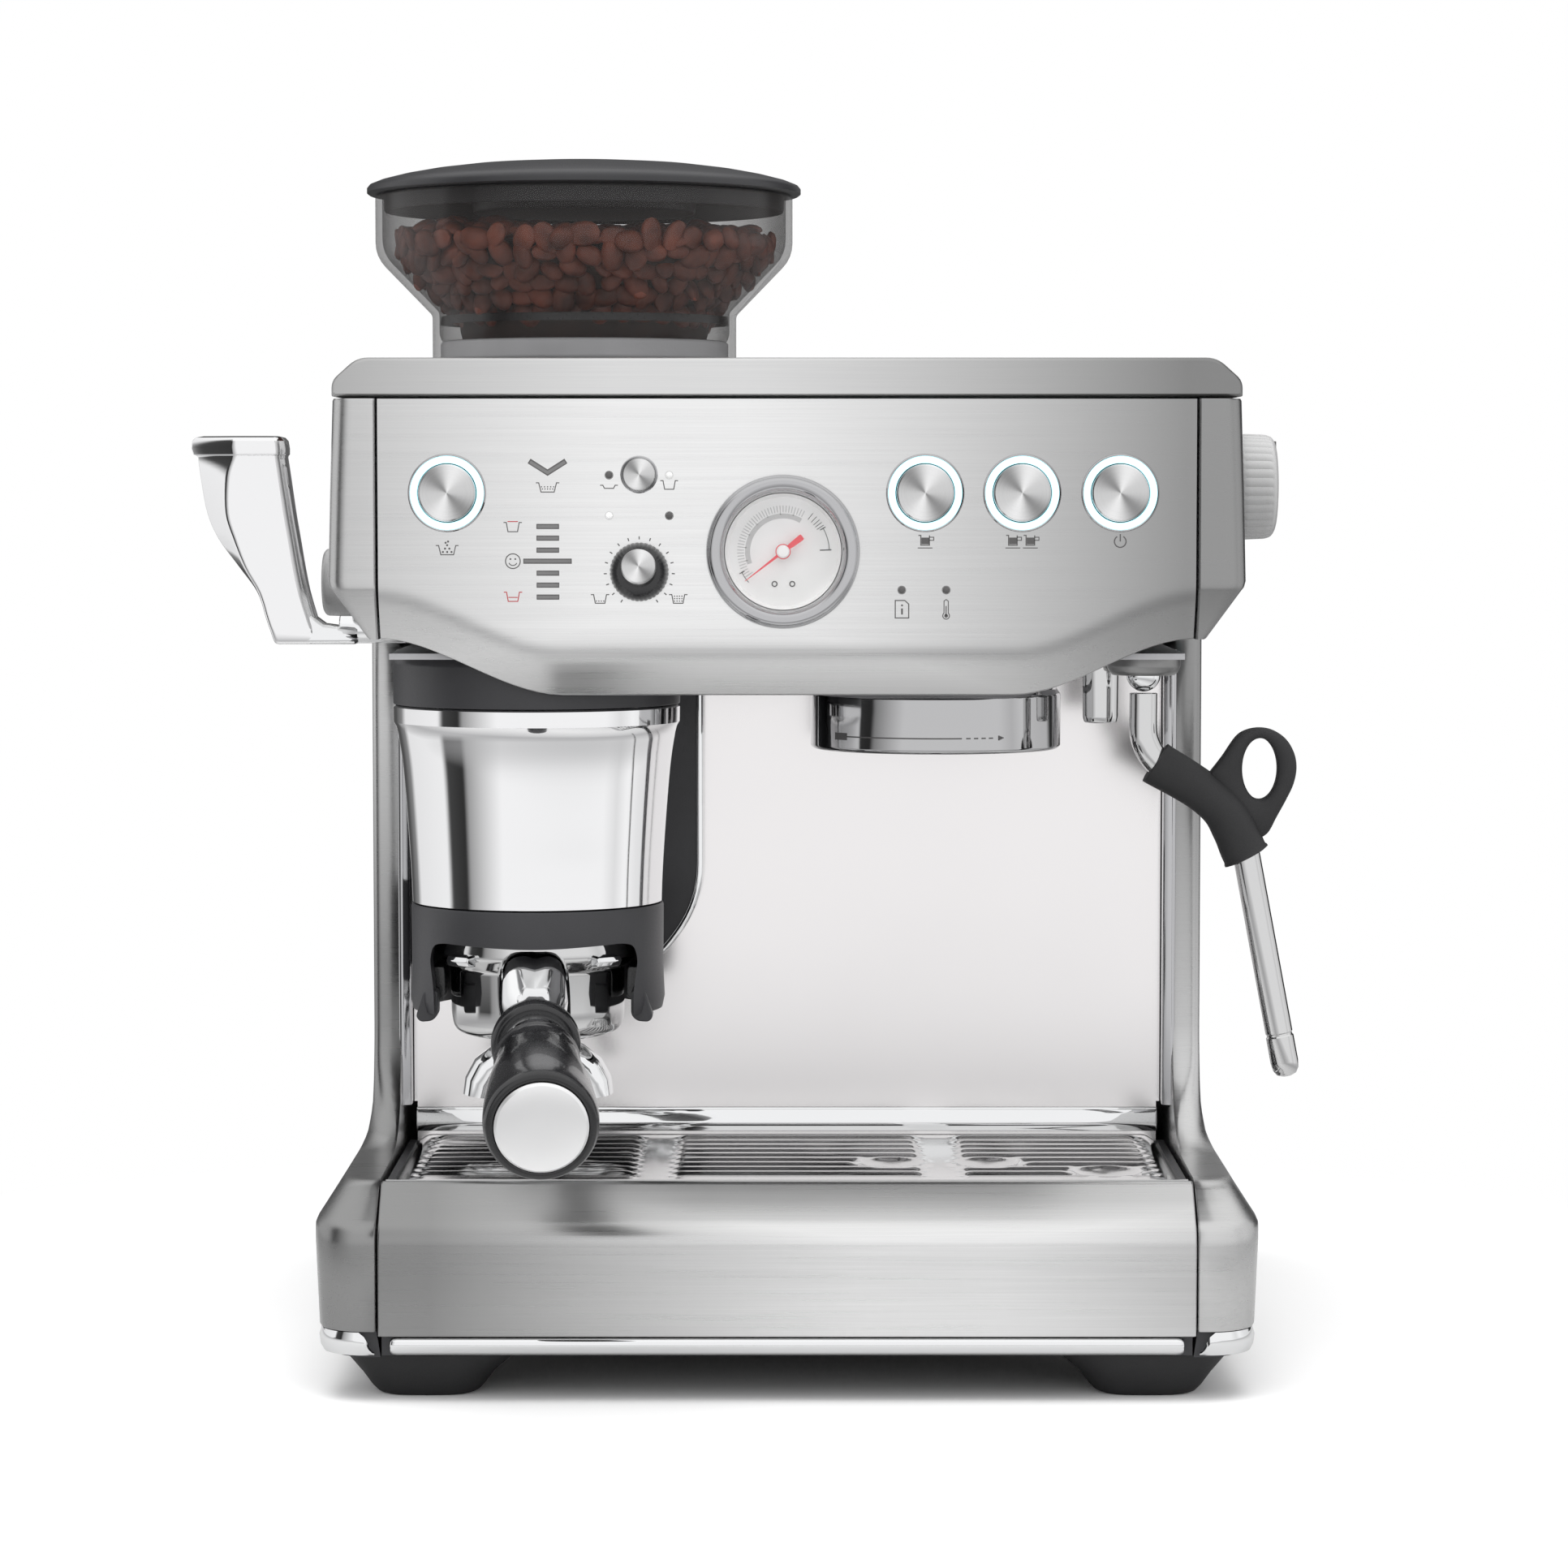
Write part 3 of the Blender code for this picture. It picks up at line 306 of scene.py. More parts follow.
def brushed_metal_painted_shade(name, colour, dark, roughness, spread, height, fineness=1.0):
    """Metal with a grain along X, and a painted highlight and painted shade over its colour."""
    material, tree, shader, position = new_material(name, colour, roughness, 1.0)
    grain = use_group(tree, GRAIN, position, Fineness=fineness)
    streaks = grain.outputs["Streaks"]
    tone = range_node(tree, streaks, 0.3, 0.7, 0.0, 1.0)
    metal = mix_colours(tree, tone, (*dark, 1.0), (*colour, 1.0))
    # Painted highlight and painted shade mixed into the metal's colour
    painted_light = use_group(tree, PAINTED_SHEEN_GROUP, position)
    tree.links.new(position.node.outputs["Normal"], painted_light.inputs["Normal"])
    metal = mix_colours(tree, painted_light.outputs["Shade"], metal, (*(c * PAINTED_SHADE_FLOOR for c in colour), 1.0))
    tree.links.new(metal, shader.inputs["Base Color"])
    rough = range_node(tree, streaks, 0.3, 0.7, roughness - spread, roughness + spread)
    tree.links.new(rough, shader.inputs["Roughness"])
    bump(tree, shader, grain.outputs["Height"], height)
    return material


def polished_metal(name, colour, roughness, smudge=0.03, clouds=22.0):
    """Chrome or polished steel with faint smudges in its gloss."""
    material, tree, shader, position = new_material(name, colour, roughness, 1.0)
    marks = use_group(tree, VARIATION, position, Cloud_Scale=clouds, Grain_Scale=900.0)
    rough = range_node(tree, marks.outputs["Clouds"], 0.35, 0.75, roughness, roughness + smudge)
    tree.links.new(rough, shader.inputs["Roughness"])
    bump(tree, shader, marks.outputs["Clouds"], 0.00002, 0.25)
    return material


def moulded(
    name, colour, roughness, grain_height=0.00002, grain_scale=2600.0, coat=0.0, lift=1.25, clouds=35.0
):
    """Moulded plastic or rubber with a fine grain and a slightly uneven tone."""
    material, tree, shader, position = new_material(name, colour, roughness, 0.0)
    shader.inputs["Coat Weight"].default_value = coat
    marks = use_group(tree, VARIATION, position, Cloud_Scale=clouds, Grain_Scale=grain_scale)
    tone = range_node(tree, marks.outputs["Clouds"], 0.3, 0.7, 0.0, 1.0)
    lighter = (*(min(1.0, c * lift) for c in colour), 1.0)
    tree.links.new(mix_colours(tree, tone, (*colour, 1.0), lighter), shader.inputs["Base Color"])
    rough = range_node(tree, marks.outputs["Grain"], 0.3, 0.7, roughness - 0.05, roughness + 0.06)
    tree.links.new(rough, shader.inputs["Roughness"])
    bump(tree, shader, marks.outputs["Grain"], grain_height)
    return material


def spun_metal_painted_fans(name, colour, centre):
    """Metal spun about an axis that points to the front: fine rings, and fans of light and dark painted into its
    colour as a painted reflection.
    """
    material, tree, shader, position = new_material(name, colour, 0.22, 1.0)
    marks = use_group(tree, SPUN_RINGS_PAINTED_FANS, position, Centre=centre)
    # The dark and bright colours of the painted reflection fans
    dark = (*(c * 0.34 for c in colour), 1.0)
    bright = (*(min(1.0, c * 1.22) for c in colour), 1.0)
    tree.links.new(mix_colours(tree, marks.outputs["Painted Fans"], dark, bright), shader.inputs["Base Color"])
    bump(tree, shader, marks.outputs["Rings"], 0.000015)
    return material


def clear_film(name, colour, facing, grazing, roughness=0.03):
    """Clear or smoky plastic: each face lets most of the light through, and less at its edges."""
    material, tree, shader, position = new_material(name, colour, roughness, 0.0, IOR=1.46)
    marks = use_group(tree, VARIATION, position, Cloud_Scale=18.0, Grain_Scale=600.0)
    rough = range_node(tree, marks.outputs["Clouds"], 0.4, 0.8, roughness, roughness + 0.04)
    tree.links.new(rough, shader.inputs["Roughness"])
    edge = tree.nodes.new("ShaderNodeLayerWeight")
    edge.inputs["Blend"].default_value = 0.35
    alpha = range_node(tree, edge.outputs["Facing"], 0.0, 1.0, facing, grazing)
    tree.links.new(alpha, shader.inputs["Alpha"])
    return material


def glowing(name, colour, strength):
    """A light guide whose glow is a little uneven."""
    material, tree, shader, position = new_material(name, colour, 0.3, 0.0)
    marks = use_group(tree, VARIATION, position, Cloud_Scale=300.0, Grain_Scale=900.0)
    tone = range_node(tree, marks.outputs["Clouds"], 0.3, 0.7, 0.0, 1.0)
    paler = (*(min(1.0, c * 1.05) for c in colour), 1.0)
    tree.links.new(mix_colours(tree, tone, (*colour, 1.0), paler), shader.inputs["Emission Color"])
    shader.inputs["Emission Strength"].default_value = strength
    return material


# Both brushed finishes carry the painted highlight and painted shade
STEEL = brushed_metal_painted_shade("brushed_steel", (0.9, 0.9, 0.897), (0.8, 0.8, 0.798), 0.29, 0.03, 0.000006)
SATIN = brushed_metal_painted_shade("satin_steel", (0.76, 0.76, 0.755), (0.7, 0.7, 0.7), 0.38, 0.04, 0.000006, 1.6)
GRATE_STEEL = polished_metal("grate_steel", (0.7, 0.7, 0.7), 0.1)
CHROME = polished_metal("chrome", (0.86, 0.865, 0.87), 0.035)
TURNED_CHROME = polished_metal("turned_chrome", (0.88, 0.88, 0.885), 0.045)
# A darker copy of the chrome: painted shade for the group ring, which sits under the head
GROUP_CHROME_PAINTED_SHADE = polished_metal("group_chrome_painted_shade", (0.5, 0.5, 0.505), 0.05)
TUBE_CHROME = polished_metal("tube_chrome", (0.66, 0.66, 0.66), 0.06)
CAP_STEEL = polished_metal("cap_steel", (0.94, 0.94, 0.94), 0.34)
MIRROR = polished_metal("polished_splash", (0.86, 0.842, 0.842), 0.16, 0.05, 9.0)
BEZEL = polished_metal("bezel_chrome", (0.5, 0.5, 0.51), 0.07)
CHARCOAL = moulded("charcoal_plastic", (0.03, 0.03, 0.033), 0.42)
LID_PLASTIC = moulded("lid_plastic", (0.02, 0.02, 0.022), 0.36)
BLACK = moulded("black_plastic", (0.008, 0.008, 0.009), 0.22, 0.000006, 1800.0, 0.3)
RUBBER = moulded("soft_rubber", (0.016, 0.016, 0.017), 0.62, 0.00003, 3200.0)
SMOKE = clear_film("smoky_plastic", (0.06, 0.056, 0.055), 0.17, 0.62)
TANK_SMOKE = clear_film("tank_smoke", (0.03, 0.03, 0.032), 0.45, 0.85, 0.08)
GLASS = clear_film("gauge_glass", (0.9, 0.9, 0.9), 0.04, 0.3, 0.01)
DIAL_WHITE = moulded("dial_white", (0.84, 0.84, 0.83), 0.5, 0.000003)
INK = moulded("printed_ink", (0.085, 0.082, 0.082), 0.55, 0.000003)
PRINT_GREY = moulded("printed_grey", (0.17, 0.168, 0.168), 0.55, 0.000003)
PALE_PRINT = moulded("pale_print", (0.5, 0.5, 0.5), 0.55, 0.000003)
RED_INK = moulded("printed_red", (0.42, 0.045, 0.05), 0.5, 0.000003)
NEEDLE = moulded("needle_red", (0.72, 0.055, 0.075), 0.4, 0.000003)
SATIN_GREY = moulded("satin_grey", (0.42, 0.42, 0.42), 0.3, 0.000006, 2200.0, 0.2, 1.04)
CAST = moulded("cast_metal", (0.42, 0.42, 0.43), 0.45, 0.00006, 900.0)
GLOW = glowing("light_ring", (0.86, 0.97, 1.0), 1.25)
GLOW_EDGE = glowing("light_ring_edge", (0.42, 0.78, 0.86), 0.85)
BEAN = moulded("roasted_bean", (0.095, 0.026, 0.015), 0.34, 0.00006, 900.0, 0.15, 3.6, 110.0)
# Near black, for the painted shade under the beans
BEAN_PAINTED_SHADE = moulded("bean_shadow", (0.02, 0.007, 0.004), 0.6, 0.0003, 160.0, 0.0, 2.0, 150.0)

FINISHES = {
    "brushed_steel": STEEL,
    "satin_steel": SATIN,
    "polished_steel": BEZEL,
    "chrome": CHROME,
    "charcoal_plastic": CHARCOAL,
    "black_plastic": BLACK,
    "rubber": RUBBER,
    "smoky_plastic": SMOKE,
    "glass": GLASS,
    "dial_white": DIAL_WHITE,
    "needle_red": NEEDLE,
    "light_guide": GLOW,
    "satin_grey": SATIN_GREY,
    "coffee": BEAN,
    "cast_metal": CAST,
}
SPECIAL = {
    "splash_back": MIRROR, "hopper_lid": LID_PLASTIC, "water_tank": TANK_SMOKE, "drip_tray_grate": GRATE_STEEL
}


def finish_cad_nodes():
    """Every node keeps its shape and takes its finish; it is shaded smooth, with edges sharper than 34 degrees
    kept sharp.
    """
    for part in frame["record"]["subparts"]:
        name = part["node"]
        node = bpy.data.objects[name]
        material = SPECIAL.get(name, FINISHES[part["material_slot"]])
        if node.material_slots:
            for slot in node.material_slots:
                slot.material = material
        else:
            node.data.materials.append(material)
        node.data.shade_smooth()
        node.data.set_sharp_from_angle(angle=math.radians(34))


def studio_bands():
    """The brightness of the studio at each bearing: bright panels with dark screens between them."""
    group, start, end = new_group(
        "studio_bands", [("Direction", "NodeSocketVector", None)], [("Color", "NodeSocketColor")]
    )
    split = group.nodes.new("ShaderNodeSeparateXYZ")
    group.links.new(start.outputs["Direction"], split.inputs[0])
    x, y = split.outputs["X"], split.outputs["Y"]
    turn = math_node(group, "ARCTAN2", x, math_node(group, "MULTIPLY", y, -1.0))
    share = math_node(group, "ADD", math_node(group, "DIVIDE", turn, 2 * math.pi), 0.5)
    bands = group.nodes.new("ShaderNodeValToRGB")
    group.links.new(share, bands.inputs["Fac"])
    # Bearing in degrees from the front, to the right positive, and the brightness there
    stops = [
        (-180, 0.1), (-150, 0.08), (-134, 0.25), (-126, 0.85), (-82, 0.95), (-77, 0.06), (-62, 0.03),
        (-58, 0.36), (-45, 0.66), (-30, 1.0), (58, 1.0), (72, 0.82), (84, 1.0), (100, 0.86), (120, 0.78),
        (127, 0.04), (150, 0.03), (158, 0.32), (180, 0.1),
    ]
    ramp = bands.color_ramp
    while len(ramp.elements) < len(stops):
        ramp.elements.new(0.5)
    for element, (bearing, level) in zip(ramp.elements, stops):
        element.position = bearing / 360 + 0.5
        element.color = (level, level, level * 1.005, 1.0)
    group.links.new(bands.outputs["Color"], end.inputs["Color"])
    return group


def studio_world(bands):
    """White to the camera; around it a bright studio with a few dark screens at its sides."""
    world = bpy.data.worlds.new("studio")
    bpy.context.scene.world = world
    world.use_nodes = True
    tree = world.node_tree
    background = tree.nodes["Background"]
    direction = tree.nodes.new("ShaderNodeTexCoord").outputs["Generated"]
    screens = tree.nodes.new("ShaderNodeGroup")
    screens.node_tree = bands
    tree.links.new(direction, screens.inputs["Direction"])
    split = tree.nodes.new("ShaderNodeSeparateXYZ")
    tree.links.new(direction, split.inputs[0])
    above = range_node(tree, split.outputs["Z"], 0.5, 0.75, 0.0, 1.0)
    lit = mix_colours(tree, above, screens.outputs["Color"], (1.1, 1.1, 1.1, 1.0))
    camera_ray = tree.nodes.new("ShaderNodeLightPath").outputs["Is Camera Ray"]
    seen = mix_colours(tree, camera_ray, lit, (1.0, 1.0, 1.0, 1.0))
    tree.links.new(seen, background.inputs["Color"])
    background.inputs["Strength"].default_value = 1.0


def area_light(name, place, target, size, power):
    data = bpy.data.lights.new(name, "AREA")
    data.shape = "RECTANGLE"
    data.size, data.size_y = size
    data.energy = power
    light = bpy.data.objects.new(name, data)
    bpy.context.scene.collection.objects.link(light)
    light.location = place
    light.rotation_mode = "QUATERNION"
    light.rotation_quaternion = (Vector(target) - Vector(place)).to_track_quat("-Z", "Y")
    light.visible_glossy = False
    return light


def studio():
    """A pale floor, soft light from above and from both sides, and the camera."""
    floor_mesh = bpy.data.meshes.new("floor")
    shape = bmesh.new()
    bmesh.ops.create_grid(shape, x_segments=8, y_segments=8, size=14.0)
    shape.to_mesh(floor_mesh)
    shape.free()
    floor = bpy.data.objects.new("floor", floor_mesh)
    bpy.context.scene.collection.objects.link(floor)
    bands = studio_bands()
    material, tree, shader, position = new_material("pale_floor", (0.93, 0.93, 0.93), 0.6)
    marks = use_group(tree, VARIATION, position, Cloud_Scale=2.0, Grain_Scale=60.0)
    tone = mix_colours(tree, marks.outputs["Clouds"], (0.92, 0.92, 0.92, 1.0), (0.94, 0.94, 0.94, 1.0))
    # Away from the machine the floor glows softly into the white behind it
    reach = tree.nodes.new("ShaderNodeVectorMath")
    reach.operation = "LENGTH"
    tree.links.new(position, reach.inputs[0])
    away = range_node(tree, reach.outputs["Value"], 0.26, 0.46, 0.0, 1.0)
    seen = tree.nodes.new("ShaderNodeLightPath").outputs["Is Camera Ray"]
    near = mix_colours(tree, seen, (0.6, 0.6, 0.6, 1.0), tone)
    tree.links.new(mix_colours(tree, away, near, (0.0, 0.0, 0.0, 1.0)), shader.inputs["Base Color"])
    screens = tree.nodes.new("ShaderNodeGroup")
    screens.node_tree = bands
    tree.links.new(position, screens.inputs["Direction"])
    far = range_node(tree, reach.outputs["Value"], 0.5, 0.95, 0.0, 1.0)
    mirrored = mix_colours(tree, far, (0.52, 0.52, 0.525, 1.0), screens.outputs["Color"])
    glow = mix_colours(tree, seen, mirrored, (1.0, 1.0, 1.0, 1.0))
    tree.links.new(mix_colours(tree, away, (0.0, 0.0, 0.0, 1.0), glow), shader.inputs["Emission Color"])
    shader.inputs["Emission Strength"].default_value = 1.0
    shader.inputs["Specular IOR Level"].default_value = 0.0
    floor_mesh.materials.append(material)

    studio_world(bands)
    centre = at(0.0, 0.0, 0.2)
    area_light("softbox_top", at(-0.1, -0.3, 1.9), centre, (1.8, 1.6), 26.0)
    area_light("softbox_left", at(-1.7, -1.0, 0.9), centre, (0.9, 1.5), 9.0)
    area_light("softbox_right", at(1.8, -0.6, 0.8), centre, (0.7, 1.5), 6.0)

    camera_data = bpy.data.cameras.new("camera")
    camera = bpy.data.objects.new("camera", camera_data)
    bpy.context.scene.collection.objects.link(camera)
    camera_data.sensor_width = 36.0
    camera_data.lens = 103.4
    camera.location = at(-0.001, -1.63, 0.302)
    aim = at(-0.001, -0.16, 0.205)
    camera.rotation_mode = "QUATERNION"
    camera.rotation_quaternion = (aim - camera.location).to_track_quat("-Z", "Y")
    bpy.context.scene.camera = camera
    bpy.context.scene.view_settings.view_transform = "Standard"


# Shape tools


def add_piece(name, mesh, material, body, replaces=(), sharp=35):
    """Link a mesh as a piece that rides on a body."""
    obj = bpy.data.objects.new(name, mesh)
    bpy.context.scene.collection.objects.link(obj)
    if not mesh.materials:
        mesh.materials.append(material)
    mesh.shade_smooth()
    mesh.set_sharp_from_angle(angle=math.radians(sharp))
    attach(obj, body)
    if replaces:
        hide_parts(*replaces)
    return obj


def hidden_tool(name, mesh, body):
    """A shape that only cuts others."""
    obj = bpy.data.objects.new(name, mesh)
    bpy.context.scene.collection.objects.link(obj)
    obj.hide_render = True
    obj.display_type = "WIRE"
    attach(obj, body)
    return obj


def finished(shape, name):
    """Close a bmesh into a mesh with its faces pointing out."""
    bmesh.ops.recalc_face_normals(shape, faces=shape.faces)
    mesh = bpy.data.meshes.new(name)
    shape.to_mesh(mesh)
    shape.free()
    return mesh


def rounded(points, radius, closed=False, steps=4):
    """Round the corners of a line of points; the radius is one number, or one for each point."""
    result = []
    count = len(points)
    for i, corner in enumerate(points):
        reach = radius[i] if isinstance(radius, (list, tuple)) else radius
        corner = Vector(corner)
        if reach == 0 or (not closed and i in (0, count - 1)):
            result.append(corner)
            continue
        before, after = Vector(points[i - 1]) - corner, Vector(points[(i + 1) % count]) - corner
        reach = min(reach, before.length * 0.48, after.length * 0.48)
        start, end = corner + before.normalized() * reach, corner + after.normalized() * reach
        for k in range(steps + 1):
            t = k / steps
            result.append(start * (1 - t) ** 2 + corner * 2 * t * (1 - t) + end * t * t)
    return result


def arc(centre, radius, start, end, count):
    """Points of an arc in a plane, with its angles in degrees."""
    angles = [math.radians(start + (end - start) * i / (count - 1)) for i in range(count)]
    return [(centre[0] + radius * math.cos(a), centre[1] + radius * math.sin(a)) for a in angles]


def skin(shape, rows, cap=True):
    """Join rows of points with faces, into a bmesh."""
    made = [[shape.verts.new(point) for point in row] for row in rows]
    count = len(made[0])
    for low, high in zip(made, made[1:]):
        for i in range(count):
            j = (i + 1) % count
            shape.faces.new((low[i], low[j], high[j], high[i]))
    if cap:
        shape.faces.new(made[0])
        shape.faces.new(made[-1])


def loft(name, rows):
    """A closed solid through rows of points."""
    shape = bmesh.new()
    skin(shape, rows)
    return finished(shape, name)


def lathe_into(shape, profile, place, turn=UP, steps=96, ring=False):
    """Turn a profile of (radius, height) about its axis, into a bmesh."""
    rows = []
    for radius, height in profile:
        if radius < 1e-7:
            rows.append([shape.verts.new(place + turn @ Vector((0, 0, height)))])
            continue
        angles = [2 * math.pi * i / steps for i in range(steps)]
        points = [Vector((radius * math.cos(a), radius * math.sin(a), height)) for a in angles]
        rows.append([shape.verts.new(place + turn @ point) for point in points])
    pairs = list(zip(rows, rows[1:])) + ([(rows[-1], rows[0])] if ring else [])
    for above, below in pairs:
        for i in range(steps):
            j = (i + 1) % steps
            corners = [
                above[i % len(above)], above[j % len(above)], below[j % len(below)], below[i % len(below)]
            ]
            corners = list(dict.fromkeys(corners))
            if len(corners) > 2:
                shape.faces.new(corners)


def lathe(name, profile, place, turn=UP, steps=96, ring=False, round_by=0.0):
    """A turned mesh whose profile's corners are rounded."""
    if round_by:
        profile = rounded(profile, round_by, closed=ring)
    shape = bmesh.new()
    lathe_into(shape, [tuple(point) for point in profile], place, turn, steps, ring)
    return finished(shape, name)


def curve_point(before, start, end, after, t):
    """A place on the smooth curve from start to end, with t from 0 to 1."""
    bend = 2 * before - 5 * start + 4 * end - after
    return 0.5 * (2 * start + (end - before) * t + bend * t * t + (3 * start - before - 3 * end + after) * t ** 3)


def smooth_line(points, count):
    """Points spread evenly along a smooth curve through the given ones."""
    points = [Vector(point) for point in points]
    line = []
    for i in range(len(points) - 1):
        before, start = points[max(i - 1, 0)], points[i]
        end, after = points[i + 1], points[min(i + 2, len(points) - 1)]
        for k in range(count):
            t = k / count
            line.append(curve_point(before, start, end, after, t))
    line.append(points[-1])
    return line


def sweep_rows(line, radii, sides=24):
    """Rings of points about a line."""
    rows = []
    side = None
    for i, point in enumerate(line):
        ahead = line[min(i + 1, len(line) - 1)] - line[max(i - 1, 0)]
        ahead.normalize()
        if side is None:
            side = ahead.orthogonal().normalized() if abs(ahead.y) > 0.9 else Vector((0, 1, 0))
        side = (side - ahead * side.dot(ahead)).normalized()
        other = ahead.cross(side)
        radius = radii[i] if isinstance(radii, (list, tuple)) else radii
        angles = [2 * math.pi * k / sides for k in range(sides)]
        rows.append([point + (side * math.cos(a) + other * math.sin(a)) * radius for a in angles])
    return rows


def sweep(name, line, radii, sides=24):
    return loft(name, sweep_rows(line, radii, sides))


def box_into(shape, low, high):
    low, high = Vector(low), Vector(high)
    made = bmesh.ops.create_cube(shape, size=1.0)["verts"]
    bmesh.ops.scale(shape, vec=high - low, verts=made)
    bmesh.ops.translate(shape, vec=(low + high) / 2, verts=made)


def slab(name, outline, plane, low, high):
    """A flat outline carried from low to high: plane "xz" along y, "yz" along x, "xy" along z."""
    order = {"xz": (0, 2, 1), "yz": (1, 2, 0), "xy": (0, 1, 2)}[plane]
    rows = []
    for level in (low, high):
        row = []
        for across, along in outline:
            point = Vector((0.0, 0.0, 0.0))
            point[order[0]], point[order[1]], point[order[2]] = across, along, level
            row.append(DATUM + point)
        rows.append(row)
    return loft(name, rows)


def soften(obj, width, segments=3, angle=30):
    bevel = obj.modifiers.new("edges", "BEVEL")
    bevel.width = width
    bevel.segments = segments
    bevel.limit_method = "ANGLE"
    bevel.angle_limit = math.radians(angle)
    bevel.harden_normals = True
    return obj


def subtract(obj, tool):
    cutter = obj.modifiers.new("cut", "BOOLEAN")
    cutter.operation = "DIFFERENCE"
    cutter.solver = "EXACT"
    cutter.object = tool


def ease(share):
    share = min(max(share, 0.0), 1.0)
    return share * share * (3 - 2 * share)


def between(start, end, share):
    return start + (end - start) * share


# The head


def head_front_row(x):
    """The front panel's section at a place across the machine."""
    lift = ease((abs(x) - 0.074) / (0.134 - 0.074))
    bend = between(0.2477, 0.267, lift)
    bottom = between(0.2335, 0.252, lift)
    back, wall = FRONT + 0.0085, 0.0019
    corners = [
        (FRONT, HEAD_TOP), (FRONT, bend), (back, bottom), (back + wall, bottom + 0.0004),
        (FRONT + wall, bend + 0.0012), (FRONT + wall, HEAD_TOP),
    ]
    section = rounded(corners, [0.0006, 0.0052, 0.001, 0.0008, 0.003, 0.0006], closed=True, steps=5)
    return [at(x, y, z) for y, z in section]


def head_front():
    """The brushed front panel, with its soft bend and a clean hole for every control."""
    half = 0.1337
    stations = [half - 0.0003, half - 0.0012] + [between(half - 0.002, 0.074, i / 15) for i in range(16)]
    stations = [-x for x in stations] + list(reversed(stations))
    mesh = loft("head_front", [head_front_row(x) for x in stations])
    panel = add_piece("head_front", mesh, STEEL, "case", ["head_front_panel"], 40)
    holes = bmesh.new()
    places = [(x, BUTTON_ROW, 0.01275) for x in BUTTONS.values()]
    places += [(*FILTER_BUTTON, 0.0057), (*GAUGE, 0.0216), (*DOSE_DIAL, 0.004)]
    for x, z, radius in places:
        profile = [(0.0, 0.01), (radius, 0.01), (radius, -0.01), (0.0, -0.01)]
        lathe_into(holes, profile, at(x, FRONT, z), TO_FRONT, 64)
    subtract(panel, hidden_tool("control_holes", finished(holes, "control_holes"), "case"))


def head_cheek_row(z, half, front, corner, sign):
    inner, rear = 0.1343, 0.155
    outline = [(inner, rear), (inner, front + 0.0006), (inner + 0.0006, front)]
    outline += arc((half - corner, front + corner), corner, -90, 0, 10)
    outline += [(half, rear - 0.0008), (half - 0.0008, rear)]
    return [at(sign * x, y, z) for x, y in outline]


def head_cheeks():
    """The cheeks on both sides of the head: rounded in front and chamfered below."""
    levels = [
        (0.252, 0.1372, 0.0085, 0.0022), (0.2524, 0.1378, 0.0082, 0.0025), (0.268, 0.1487, 0.0004, 0.006),
        (0.2692, 0.1497, 0.0, 0.0068), (0.2712, 0.1503, 0.0, 0.0072), (0.3, 0.1496, 0.0, 0.0075),
        (0.33, 0.1486, 0.0, 0.0075), (0.3307, 0.1482, 0.0003, 0.0072)
    ]
    for side, sign in (("left", -1), ("right", 1)):
        rows = [head_cheek_row(z, half, FRONT + back, corner, sign) for z, half, back, corner in levels]
        cheek = add_piece(
            f"head_cheek_{side}_shell", loft("cheek", rows), STEEL, "case",
            [f"head_cheek_{side}"]
        )
        hollow_low, hollow_high = sorted((sign * 0.132, sign * 0.1465))
        holes = bmesh.new()
        box_into(holes, at(hollow_low, FRONT + 0.009, 0.272), at(hollow_high, 0.152, 0.327))
        if sign < 0:
            profile = [(0.0, 0.03), (0.0057, 0.03), (0.0057, -0.03), (0.0, -0.03)]
            lathe_into(holes, profile, at(-0.145, *LEVER_AXIS), TO_RIGHT, 32)
            box_into(holes, at(-0.17, -0.085, 0.3046), at(-0.132 - 0.014, -0.035, 0.3134))
        subtract(cheek, hidden_tool(f"cheek_hollow_{side}", finished(holes, "hollow"), "case"))


